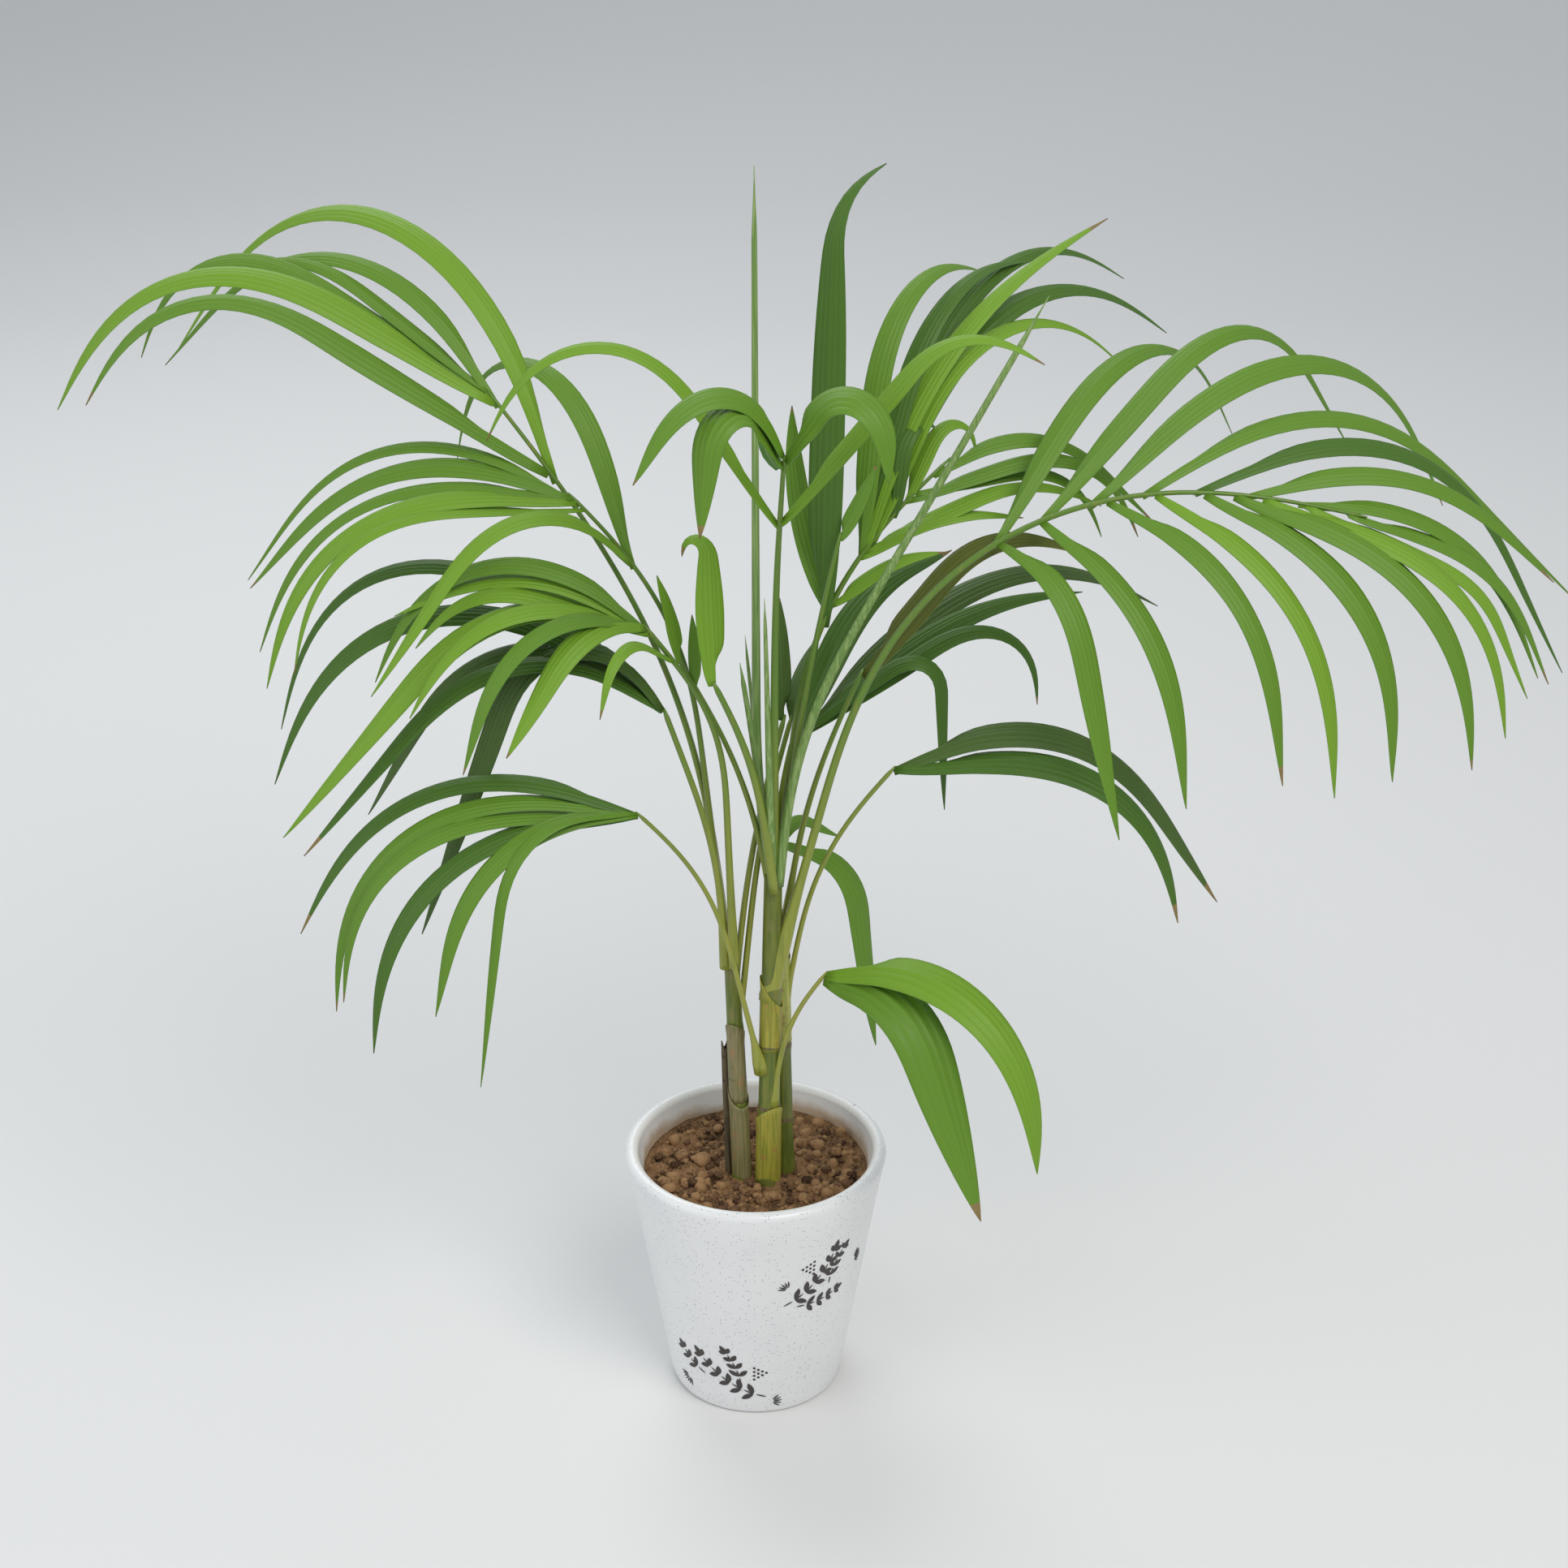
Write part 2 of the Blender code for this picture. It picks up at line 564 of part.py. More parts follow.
def make_stem(name, stem):
    """A stem with the wrapped feet of its stalks, cut flat at the soil."""
    x, y = stem["foot"]
    limb = dict(stem, foot=(x, y, STEM_FOOT_Z))
    return fuse("stem_" + name, [limb_tube("stem", limb, 0, 1)] + bundles(name), "stem")


def make_frond(name, frond):
    """A frond above its bundle: a stalk, and a blade of rib and leaflets."""
    gap = GAP / frond["length"]
    start = frond["free"] + gap
    split = min(frond["at"]) - STALK_MARGIN
    blades = leaflets(frond, frond)
    for other in FRONDS.values():
        if other.get("rib_of") == name:
            blades += leaflets(other, frond)
    if (split - start) * frond["length"] > SHORTEST_STALK:
        fuse(name + "_stalk", [limb_tube(name, frond, start, split)], "stalk")
        start = split + gap
    leaf = "dark_leaf" if name in DARK_FRONDS else "leaf"
    fuse(name + "_frond", [limb_tube(name, frond, start, 1)] + blades, leaf)


def make_spear(name, spear):
    """A closed young leaf above its bundle."""
    start = spear["free"] + GAP / spear["length"]
    fuse(name, [limb_tube(name, spear, start, 1)], "leaf")


make_pot()
make_soil()
for stem_name, stem_data in STEMS.items():
    make_stem(stem_name, stem_data)
sheath = dict(DEAD_SHEATH, foot=(*DEAD_SHEATH["foot"], STEM_FOOT_Z))
fuse("dead_sheath", [limb_tube("sheath", sheath, 0, 1)], "dry")
for frond_name, frond_data in FRONDS.items():
    if "rib_of" not in frond_data:
        make_frond(frond_name, frond_data)
for spear_name, spear_data in SPEARS.items():
    make_spear(spear_name, spear_data)
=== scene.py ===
# %% [markdown]
# # A young areca palm in a speckled pot
#
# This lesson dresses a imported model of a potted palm. The model already holds every
# stem, stalk and frond at its real size, as plain solids. Here each of them gets a
# finer mesh and a finish, and nothing is moved: the palm that comes out stands
# exactly where the solids stand.

import math
import random

import bmesh
import bpy
import numpy as np
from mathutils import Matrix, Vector, noise


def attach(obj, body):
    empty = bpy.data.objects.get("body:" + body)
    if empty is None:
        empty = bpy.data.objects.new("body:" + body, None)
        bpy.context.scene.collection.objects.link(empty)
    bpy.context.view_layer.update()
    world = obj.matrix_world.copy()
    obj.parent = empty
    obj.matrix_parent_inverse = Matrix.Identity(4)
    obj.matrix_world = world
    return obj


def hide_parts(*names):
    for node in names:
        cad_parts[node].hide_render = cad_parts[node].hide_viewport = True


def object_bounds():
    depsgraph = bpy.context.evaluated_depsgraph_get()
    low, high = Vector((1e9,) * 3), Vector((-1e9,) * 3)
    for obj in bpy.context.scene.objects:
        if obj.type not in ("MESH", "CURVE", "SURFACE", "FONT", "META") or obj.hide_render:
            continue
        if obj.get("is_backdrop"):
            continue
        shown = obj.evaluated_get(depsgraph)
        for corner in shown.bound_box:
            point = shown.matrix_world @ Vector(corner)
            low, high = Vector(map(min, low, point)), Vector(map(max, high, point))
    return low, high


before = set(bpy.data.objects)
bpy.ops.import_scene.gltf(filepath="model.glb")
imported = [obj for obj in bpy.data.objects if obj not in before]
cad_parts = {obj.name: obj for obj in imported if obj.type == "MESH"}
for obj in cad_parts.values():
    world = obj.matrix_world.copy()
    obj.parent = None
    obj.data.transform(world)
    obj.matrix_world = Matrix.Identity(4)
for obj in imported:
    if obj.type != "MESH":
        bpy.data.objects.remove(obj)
CAD_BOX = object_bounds()
MM = 0.001
print("solids loaded:", len(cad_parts))
print("box in millimetres:", [[round(x / MM) for x in corner] for corner in CAD_BOX])

# %% [markdown]
# ## A short way to write shader maths
#
# A material in Blender is a graph of nodes. Wiring it by hand hides the idea, so
# this class wraps the output of a node. Adding or multiplying two of them adds the
# Math node that does it, and `1 - mask` works as it reads.

# %% Sockets that can be added and multiplied
class Wire:
    """The output of a shader node, used like a number."""

    def __init__(self, recipe, socket):
        self.recipe = recipe
        self.socket = socket

    def math(self, operation, first, second):
        """A Math node on two numbers or wires."""
        settings = {"operation": operation}
        return self.recipe.node("ShaderNodeMath", settings, {0: first, 1: second})

    def __add__(self, other):
        return self.math("ADD", self, other)

    def __sub__(self, other):
        return self.math("SUBTRACT", self, other)

    def __rsub__(self, other):
        return self.math("SUBTRACT", other, self)

    def __mul__(self, other):
        return self.math("MULTIPLY", self, other)

    __radd__ = __add__
    __rmul__ = __mul__


class Recipe:
    """A Principled material that is built up from noise, masks and colours."""

    def __init__(self, name, colour, roughness, constants=None):
        self.material = bpy.data.materials.new(name)
        self.material.use_nodes = True
        self.tree = self.material.node_tree
        self.shader = self.tree.nodes["Principled BSDF"]
        self.set("Base Color", (*colour, 1))
        self.set("Roughness", roughness)
        for socket, value in (constants or {}).items():
            self.set(socket, value)
        self.material.diffuse_color = (*colour, 1)

    def feed(self, socket, value):
        """Links a wire to a socket, or writes a value in it."""
        if isinstance(value, Wire):
            self.tree.links.new(value.socket, socket)
        else:
            socket.default_value = value

    def set(self, name, value):
        """Feeds one of the shader's own sockets."""
        self.feed(self.shader.inputs[name], value)

    def node(self, kind, settings, inputs, output=0):
        """Adds any node: its settings first, then its inputs."""
        made = self.tree.nodes.new(kind)
        for key, value in settings.items():
            setattr(made, key, value)
        for key, value in inputs.items():
            self.feed(made.inputs[key], value)
        return Wire(self, made.outputs[output])

    def place(self, stretch=(1, 1, 1)):
        """Object coordinates in metres, scaled along each axis."""
        spot = self.node("ShaderNodeTexCoord", {}, {}, "Object")
        return self.node("ShaderNodeMapping", {}, {"Vector": spot, "Scale": stretch})

    def grain(self, size_mm, detail=4, stretch=(1, 1, 1)):
        """Noise from 0 to 1 whose lumps are about size_mm wide."""
        return self.node(
            "ShaderNodeTexNoise", {},
            {"Vector": self.place(stretch), "Scale": 1 / (size_mm * MM), "Detail": detail})

    def mask(self, wire, low, high):
        """Sharpens a wire: 0 below low, 1 above high."""
        return self.node(
            "ShaderNodeMapRange", {"clamp": True},
            {"Value": wire, "From Min": low, "From Max": high})

    def mix(self, factor, first, second):
        """One colour over another."""
        first, second = [(*c, 1) if isinstance(c, tuple) else c for c in (first, second)]
        return self.node(
            "ShaderNodeMix", {"data_type": "RGBA"}, {0: factor, 6: first, 7: second}, 2)

    def bump(self, height, depth_mm, strength=1.0):
        """Raises the surface by up to depth_mm where height is 1."""
        self.set("Normal", self.node(
            "ShaderNodeBump", {},
            {"Height": height, "Distance": depth_mm * MM, "Strength": strength}))


print("shader helpers ready")

# %% [markdown]
# ## Putting a mesh in the scene
#
# Every piece that shows is a mesh object that rides on the palm's one body. The
# solids it stands for are hidden.

# %% Mesh objects
def mesh_object(name, points, faces, materials, tones=None):
    """Links a smooth mesh object made of points in metres."""
    mesh = bpy.data.meshes.new(name)
    mesh.from_pydata([tuple(p) for p in points], [], faces)
    for material in materials:
        mesh.materials.append(material)
    if tones is not None:
        mesh.polygons.foreach_set("material_index", tones)
    mesh.shade_smooth()
    made = bpy.data.objects.new(name, mesh)
    bpy.context.scene.collection.objects.link(made)
    return made


def wear(piece, slot, *nodes):
    """Fixes a piece to the palm and hides the solids it stands for; slot is not used."""
    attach(piece, "root")
    packed = [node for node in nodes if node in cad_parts]
    if packed:
        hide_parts(*packed)
    return piece


def loft(rings, capped=True):
    """Points and faces of a tube through equal rings of points."""
    rows, around = rings.shape[:2]
    faces = []
    for row in range(rows - 1):
        for i in range(around):
            j = (i + 1) % around
            first, second = row * around, (row + 1) * around
            faces.append((first + i, first + j, second + j, second + i))
    if capped:
        faces.append(tuple(range(around - 1, -1, -1)))
        faces.append(tuple(range((rows - 1) * around, rows * around)))
    return rings.reshape(-1, 3), faces


print("mesh helpers ready")

# %% [markdown]
# ## How a frond grows
#
# A stalk and a leaflet bend in the same way: they keep one heading, and their slope
# turns from a first value to a last one somewhere along their length. The solids use
# this rule, so the same rule with more steps gives finer pieces in the same place.

# %% One limb in one vertical plane
ARCH_STEPS = 96


def smooth(t):
    """Eases from 0 to 1."""
    t = np.clip(t, 0, 1)
    return t * t * (3 - 2 * t)


def arch(limb, fractions):
    """Points in millimetres on a limb, at fractions of its length."""
    low, high = limb.get("bend", (0, 1))
    middle = (np.arange(ARCH_STEPS) + 0.5) / ARCH_STEPS
    eased = smooth((middle - low) / (high - low))
    slope = np.radians(limb["rise"] + (limb["fall"] - limb["rise"]) * eased)
    turn = math.radians(limb["heading"])
    runs = np.stack([math.cos(turn) * np.cos(slope), math.sin(turn) * np.cos(slope),
                     np.sin(slope)], axis=1)
    walk = np.vstack([np.zeros(3), np.cumsum(runs, axis=0)]) * limb["length"] / ARCH_STEPS
    knots = np.linspace(0, 1, ARCH_STEPS + 1)
    points = [np.interp(fractions, knots, walk[:, axis]) for axis in range(3)]
    return np.stack(points, axis=1) + np.array(limb["foot"], float)


def frame_along(limb, fractions):
    """Centre points, level side direction and upward direction along a limb."""
    centre = arch(limb, fractions)
    turn = math.radians(limb["heading"])
    side = np.array([math.sin(turn), -math.cos(turn), 0])
    tangent = np.gradient(centre, axis=0)
    tangent /= np.linalg.norm(tangent, axis=1)[:, None]
    return centre, side, tangent, np.cross(side, tangent)


print("a limb's points:", arch(dict(foot=(0, 0, 0), heading=0, rise=80, fall=20, length=100),
                              [0, 0.5, 1]).round(1).tolist())

# %% [markdown]
# ## Leaf colours
#
# A leaflet is glossy green above, duller and yellower below, with pale veins and
# often a dry tip. The underside's colour is its own paler green, lightened in most
# tones as painted light shining through the leaf. Each of these is one plain colour
# on its own faces, so the colours stay where they are in any program. Young fronds
# are brighter, old ones bluer.

# %% Leaf finishes
# The under colours hold the underside's own paler green and, in most tones, painted light shining through
# the leaf.
LEAF_TONES = {
    "fresh": dict(top=(0.135, 0.300, 0.018), vein=(0.33, 0.50, 0.12), under=(0.17, 0.33, 0.020)),
    "mid": dict(top=(0.085, 0.225, 0.022), vein=(0.27, 0.43, 0.13), under=(0.12, 0.25, 0.018)),
    "deep": dict(top=(0.045, 0.145, 0.022), vein=(0.17, 0.32, 0.12), under=(0.065, 0.15, 0.014)),
    "blue": dict(top=(0.035, 0.110, 0.032), vein=(0.15, 0.27, 0.13), under=(0.07, 0.13, 0.022)),
    "olive": dict(top=(0.120, 0.160, 0.016), vein=(0.25, 0.27, 0.08), under=(0.10, 0.12, 0.012)),
}
DRY_TIP = (0.24, 0.17, 0.055)
leaf_materials = {}


def leaf_material(tone, side):
    """The finish of one side of a leaflet, made once."""
    key = f"leaf_{tone}_{side}"
    if key not in leaf_materials:
        if side == "tip":
            recipe = Recipe(key, DRY_TIP, 0.6)
        # The underside wears painted light: its colour is lightened to stand for light shining through
        # the leaf.
        elif side == "under":
            recipe = Recipe(key, LEAF_TONES[tone]["under"], 0.52, {"Specular IOR Level": 0.35})
        else:
            recipe = Recipe(key, LEAF_TONES[tone][side], 0.36, {"Specular IOR Level": 0.55})
            recipe.set("Coat Weight", 0.12)
            recipe.set("Coat Roughness", 0.3)
        leaf_materials[key] = recipe.material
    return leaf_materials[key]


TOP_SIDES = ("top", "vein", "tip")
UNDER_SIDES = ("under", "under", "tip")
print("leaf tones:", ", ".join(LEAF_TONES))

# %% [markdown]
# ## One leaflet
#
# A palm leaflet is a long pleated blade, raised along its midrib and hanging a
# little to both sides, with a vein on each pleat. It could be a flat card with a
# picture, but cards look thin from the side. Here it is a real sheet of narrow
# strips: the pleats catch the light, the veins are strips of their own colour, and
# a Solidify modifier gives it an underside. It also turns toward the light, as
# living leaves do, which shows its broad face from the front.

# %% Leaflet mesh
BLADE_ROWS = 34
VEINS = (0.0, 0.34, 0.67)
VEIN_HALF = 0.028
LIGHT = np.array([0.05, -0.62, 0.78])
TURN_SHARE = 0.62
TURN_LIMIT = math.radians(58)
BLADE_WIDEN = 1.16
PLEAT = 0.045
BLADE_THICKNESS = 0.4


def blade_columns():
    """Places across a leaflet from -1 to 1, their pleat height, and vein strips."""
    places = [(0.17, -1), (0.5, -1), (0.84, -1), (1.0, 0)]
    for vein in VEINS:
        places += [(vein - VEIN_HALF, 1), (vein + VEIN_HALF, 1)]
    right = sorted(p for p in places if p[0] > 0)
    left = [(-across, height) for across, height in reversed(right)]
    columns = left + right
    middles = [(a[0] + b[0]) / 2 for a, b in zip(columns, columns[1:])]
    veined = [any(abs(abs(m) - vein) < VEIN_HALF for vein in VEINS) for m in middles]
    return np.array([c[0] for c in columns]), np.array([c[1] for c in columns]), veined


ACROSS, PLEATS, VEINED = blade_columns()


def blade_outline(along):
    """Half width of a leaflet along its length, as a share of the widest."""
    place = 0.05 + 0.95 * along
    return place ** 0.62 * (1 - along) ** 0.9 / 0.446 + 0.012


def blade_points(leaf, rng):
    """Points of a leaflet's upper face, row by row, in millimetres."""
    along = np.linspace(0, 1, BLADE_ROWS) ** 0.92
    centre, side, tangent, up = frame_along(leaf, along)
    sway = (leaf.get("sway", 0) + rng.uniform(-0.012, 0.012) * leaf["length"])
    centre = centre + side * (sway * np.sin(math.pi * along))[:, None]
    lit = LIGHT - (tangent @ LIGHT)[:, None] * tangent
    roll = np.arctan2(-(lit @ side), (lit * up).sum(axis=1))
    roll = np.clip(roll, -TURN_LIMIT / TURN_SHARE, TURN_LIMIT / TURN_SHARE) * TURN_SHARE
    roll = roll * smooth(along / 0.25) + math.radians(rng.uniform(-7, 7))
    across = side * np.cos(roll)[:, None] + up * np.sin(roll)[:, None]
    face = up * np.cos(roll)[:, None] - side * np.sin(roll)[:, None]
    half = leaf["width"] / 2 * BLADE_WIDEN * blade_outline(along)
    fold = np.radians(13 + 42 * (1 - smooth(along / 0.22)) + rng.uniform(-4, 5))
    ripple = 0.05 * np.sin(along * rng.uniform(9, 15) + rng.uniform(0, 6))
    rows = []
    for row in range(BLADE_ROWS):
        reach = half[row] * ACROSS * math.cos(fold[row])
        drop = half[row] * (np.abs(ACROSS) * math.sin(fold[row]) - PLEAT * PLEATS
                            + ripple[row] * ACROSS ** 3)
        rows.append(centre[row] + np.outer(reach, across[row]) - np.outer(drop, face[row]))
    return np.array(rows)


def blade_faces(start, tone, tones, dry):
    """Faces and finishes of a leaflet whose points begin at start."""
    columns = len(ACROSS)
    faces, finish = [], []
    first = tones.index(tone) * len(TOP_SIDES)
    for row in range(BLADE_ROWS - 1):
        for column in range(columns - 1):
            corner = start + row * columns + column
            faces.append((corner, corner + columns, corner + columns + 1, corner + 1))
            part = 1 if VEINED[column] else 0
            if row > BLADE_ROWS * (1 - dry):
                part = 2
            finish.append(first + part)
    return faces, finish


print("strips across a leaflet:", len(ACROSS) - 1, "of which veins:", sum(VEINED))

# %% [markdown]
# ## The fronds
#
# Each frond is listed as a grower would describe it: where its stalk leaves the
# stem, how it leans and bends, and its leaflets by place on the rib, heading, first
# and last slope, length and width. Lengths are in millimetres, angles in degrees.

# %% Stems and fronds
STEM_FOOT_Z = 136
STEMS = {
    "left": dict(foot=(-7.5, -11.5, STEM_FOOT_Z), radius=(5.0, 4.2), heading=180, rise=88,
                 fall=88, length=145),
    "middle": dict(foot=(7, -15, STEM_FOOT_Z), radius=(6.6, 5.0), heading=0, rise=89,
                   fall=89, length=199),
    "right": dict(foot=(17.5, -3, STEM_FOOT_Z), radius=(4.8, 3.6), heading=180, rise=89,
                  fall=89, length=169),
}
DEAD_SHEATH = dict(foot=(-14.8, -6.5, STEM_FOOT_Z), radius=(2.6, 1.8), heading=180,
                   rise=88.5, fall=88.5, length=87)

FRONDS = {
    "left_high": dict(
        foot=(-15, -6, 273), heading=165, rise=86, fall=51, length=353, radius=(2.3, 1.0),
        at=(0.83, 0.97, 1.0, 0.98, 0.98, 0.85), leaf_heading=(146, 156, 161, 168, 177, 186),
        leaf_rise=(70, 56, 34, 31, 32, 35), leaf_fall=(-52, -47, -30, -69, -62, -61),
        leaf_length=(370, 260, 175, 240, 280, 285), leaf_width=(15, 13, 9, 12, 18, 18),
        leaf_bend=(0, 0, 0.4, 0.4, 0.25, 0.45), leaf_bend_end=(0.95, 0.9, 1, 1, 1, 1),
        tones=("mid", "fresh")),
    "left_light": dict(
        foot=(-14, -9, 274), heading=172, rise=84, fall=46, length=293, bend=(0.43, 1),
        radius=(2.2, 1.0),
        at=(0.82, 0.97, 0.99, 0.99, 0.98, 0.96, 0.83),
        leaf_heading=(138, 166, 173, 180, 188, 194, 206),
        leaf_rise=(66, 29, 20, 8, 7, 4, 52), leaf_fall=(-78, -55, -50, -71, -76, -79, -53),
        leaf_length=(225, 230, 205, 215, 220, 200, 195),
        leaf_width=(13, 8, 14, 10, 14, 8, 12), leaf_bend=(0.2, 0, 0, 0.1, 0.1, 0.25, 0),
        leaf_bend_end=(1, 0.9, 0.9, 1, 1, 1, 0.7), tones=("fresh", "mid")),
    "left_dark": dict(
        foot=(-16, -14, 276), heading=188, rise=88, fall=72, length=162, bend=(0.05, 0.8),
        radius=(2.3, 1.6),
        at=(1.0, 1.0), leaf_heading=(163, 175, 183, 194, 187), leaf_rise=(41, 42, 44, 40, 62),
        leaf_fall=(-75, -70, -61, -48, -70), leaf_length=(305, 280, 215, 240, 255),
        leaf_width=(14, 16, 16, 14, 17), leaf_bend=(0.1, 0, 0, 0, 0),
        leaf_bend_end=(1, 1, 0.8, 0.7, 0.5), tones=("deep", "blue")),
    "left_fan": dict(
        foot=(-11, -17, 278), heading=196, rise=88, fall=55, length=219, bend=(0.43, 0.92),
        radius=(2.3, 1.4),
        at=(0.97, 0.97, 0.98, 0.98, 0.99, 0.99, 1.0, 0.88),
        leaf_heading=(178, 179, 185, 192, 201, 212, 224, 238),
        leaf_rise=(45, 39, 21, 27, 23, 27, 21, 35),
        leaf_fall=(-68, -28, -54, -49, -59, -72, -48, -68),
        leaf_length=(190, 145, 135, 245, 150, 150, 115, 88),
        leaf_width=(12, 12, 14, 16, 12, 12, 15, 8),
        leaf_bend=(0, 0, 0.35, 0, 0.1, 0, 0, 0.25),
        leaf_bend_end=(1, 0.95, 1, 0.6, 1, 0.9, 0.65, 0.9), tones=("fresh", "mid")),
    "left_inner": dict(
        foot=(10, -15, 313), heading=178, rise=82, fall=61, length=157, radius=(2.0, 1.2),
        at=(0.98, 0.88), leaf_heading=(170, 110), leaf_rise=(82, 84), leaf_fall=(70, 84),
        leaf_length=(50, 40), leaf_width=(9, 7), tones=("fresh", "mid")),
    "left_low": dict(
        foot=(4, -18, 212), heading=205, rise=77, fall=49, length=193, bend=(0.34, 1),
        radius=(1.7, 1.2), at=(0.99, 1.0), leaf_heading=(182, 187, 193, 200, 208, 216),
        leaf_rise=(24, 14, 5, 4, 11, 11), leaf_fall=(-65, -86, -85, -85, -77, -80),
        leaf_length=(225, 240, 220, 220, 175, 205), leaf_width=(14, 12, 12, 14, 13, 7),
        leaf_bend=(0, 0.05, 0.2, 0.05, 0, 0.1), leaf_bend_end=(1, 1, 1, 1, 0.9, 0.55),
        tones=("mid", "deep")),
    "middle_young": dict(
        foot=(11, -22, 327), heading=203, rise=83, fall=65, length=135, bend=(0.14, 1),
        radius=(2.8, 1.6), at=(0.98,), leaf_heading=(159,), leaf_rise=(88,), leaf_fall=(-88,),
        leaf_length=(99,), leaf_width=(17,), leaf_bend=(0.7,), leaf_bend_end=(1,),
        tones=("fresh",)),
    "front": dict(
        foot=(11, -17, 329), heading=-86, rise=88, fall=55, length=290, bend=(0.28, 0.87),
        radius=(2.7, 1.1),
        at=(0.8, 0.81, 1.0, 0.97, 0.99), leaf_heading=(183, -13, 209, 222, -28),
        leaf_rise=(58, 52, 70, 58, 59), leaf_fall=(-66, -31, -57, -84, -86),
        leaf_length=(212, 177, 115, 116, 102), leaf_width=(12, 15, 15, 20, 21),
        leaf_bend=(0.3, 0.55, 0, 0.2, 0.2), leaf_bend_end=(1, 1, 0.9, 0.7, 0.9),
        tones=("mid", "fresh")),
    "little": dict(
        foot=(14, -14.5, 327), heading=15, rise=84, fall=77, length=204, bend=(0.08, 1),
        radius=(2.2, 1.2), at=(0.98,), leaf_heading=(20,), leaf_rise=(61,), leaf_fall=(62,),
        leaf_length=(43,), leaf_width=(10,), tones=("mid",)),
    "back": dict(
        foot=(13, -9, 325), heading=25, rise=84, fall=37, length=263, bend=(0.25, 1),
        radius=(2.4, 1.0),
        at=(0.61, 0.57, 0.73, 0.73, 0.74, 0.74, 0.75, 0.77, 0.83, 0.87),
        leaf_heading=(120, 43, 56, 49, 50, 36, 40, 33, 47, 34),
        leaf_rise=(55, 88, 80, 69, 61, 70, 63, 63, 84, 60),
        leaf_fall=(85, 14, -23, -13, -31, 17, -37, -44, -56, -86),
        leaf_length=(110, 258, 220, 225, 305, 235, 290, 230, 82, 80),
        leaf_width=(15, 20, 14, 13, 12, 13, 18, 12, 14, 10),
        leaf_bend=(0.1, 0.75, 0.3, 0.3, 0.15, 0, 0.1, 0.2, 0.3, 0.35),
        tones=("mid", "deep", "fresh")),
    "back_right": dict(
        rib_of="back", at=(0.62, 0.73, 0.75, 0.88, 0.95, 0.9),
        leaf_heading=(5, 10, 12, 14, 19, 17), leaf_rise=(37, 28, 21, 14, 27, 5),
        leaf_fall=(4, -11, -29, -69, -47, -71), leaf_length=(67, 92, 136, 155, 153, 128),
        leaf_width=(10, 10, 11, 11, 12, 10), leaf_bend=(0.25, 0.1, 0.4, 0.3, 0, 0.35),
        leaf_bend_end=(1, 1, 1, 1, 0.8, 1), tones=("mid", "fresh")),
    "right_big": dict(
        foot=(7, -15, 257), heading=0, rise=76, fall=-13, length=497, bend=(0.23, 1),
        radius=(2.9, 0.9),
        at=(0.6, 0.98), leaf_heading=(51, 40, 32, 24, 18, 12, 8, 4),
        leaf_rise=(41, 33, 33, 26, 19, 12, -4, -20),
        leaf_fall=(-52, -53, -60, -44, -61, -45, -67, -66),
        leaf_length=(290, 300, 310, 340, 305, 200, 190, 160),
        leaf_width=(15, 15, 15, 14, 14, 13, 12, 12),
        leaf_bend=(0.15, 0.3, 0.1, 0, 0, 0, 0, 0.2),
        leaf_bend_end=(0.95, 0.85, 0.95, 0.7, 0.8, 0.9, 0.95, 0.9), tones=("mid", "deep")),
    "right_big_front": dict(
        rib_of="right_big", at=(0.61, 0.66, 0.73, 0.78, 0.83, 0.86, 0.89, 0.935),
        leaf_heading=(-50, -42, -38, -33, -28, -22, -17, -10),
        leaf_rise=(-5, -20, -9, -17, -17, -13, -15, -22),
        leaf_fall=(-72, -81, -82, -85, -86, -84, -82, -66),
        leaf_length=(180, 178, 190, 198, 196, 208, 195, 165),
        leaf_width=(15, 15, 15, 15, 16, 16, 15, 13),
        leaf_bend=(0, 0, 0, 0, 0.05, 0.1, 0.2, 0.4),
        leaf_bend_end=(0.52, 0.9, 0.9, 0.95, 0.95, 1, 1, 0.8), tones=("fresh", "mid")),
    "right_olive": dict(
        foot=(17, -5, 298), heading=8, rise=83, fall=66, length=157, radius=(2.0, 1.3),
        at=(0.98,), leaf_heading=(0,), leaf_rise=(53,), leaf_fall=(-24,), leaf_length=(150,),
        leaf_width=(20,), leaf_bend=(0.4,), tones=("olive",)),
    "right_fan": dict(
        foot=(12, -5, 323), heading=65, rise=84, fall=56, length=85, bend=(0.22, 1),
        radius=(2.6, 2.0),
        at=(0.98, 1.0), leaf_heading=(48, 32, 20, 8, -3), leaf_rise=(50, 34, 33, 33, 38),
        leaf_fall=(1, -34, -5, -88, -88), leaf_length=(160, 275, 185, 180, 175),
        leaf_width=(18, 18, 15, 13, 11), leaf_bend=(0.25, 0.15, 0.3, 0.45, 0.35),
        leaf_bend_end=(0.85, 1, 1, 1, 0.62), tones=("blue", "deep")),
    "back_dark": dict(
        foot=(-10, -7, 268), heading=25, rise=84, fall=74, length=155, radius=(1.9, 1.5),
        at=(0.98,), leaf_heading=(150,), leaf_rise=(88,), leaf_fall=(88,), leaf_length=(70,),
        leaf_width=(12,), tones=("blue",)),
    "back_narrow": dict(
        foot=(-7, -9.5, 254), heading=19, rise=84, fall=74, length=171, bend=(0.23, 1),
        radius=(1.9, 1.4), at=(0.98,), leaf_heading=(70,), leaf_rise=(46,), leaf_fall=(23,),
        leaf_length=(55,), leaf_width=(12,), tones=("blue",)),
    "right_mid": dict(
        foot=(15, -3, 237), heading=-8, rise=80, fall=52, length=174, bend=(0.22, 1),
        radius=(1.8, 1.3), at=(0.99, 1.0), leaf_heading=(1, -9), leaf_rise=(27, 10),
        leaf_fall=(-58, -80), leaf_length=(230, 208), leaf_width=(19, 19),
        leaf_bend=(0, 0.15), leaf_bend_end=(0.8, 1), tones=("deep", "blue")),
    "right_low": dict(
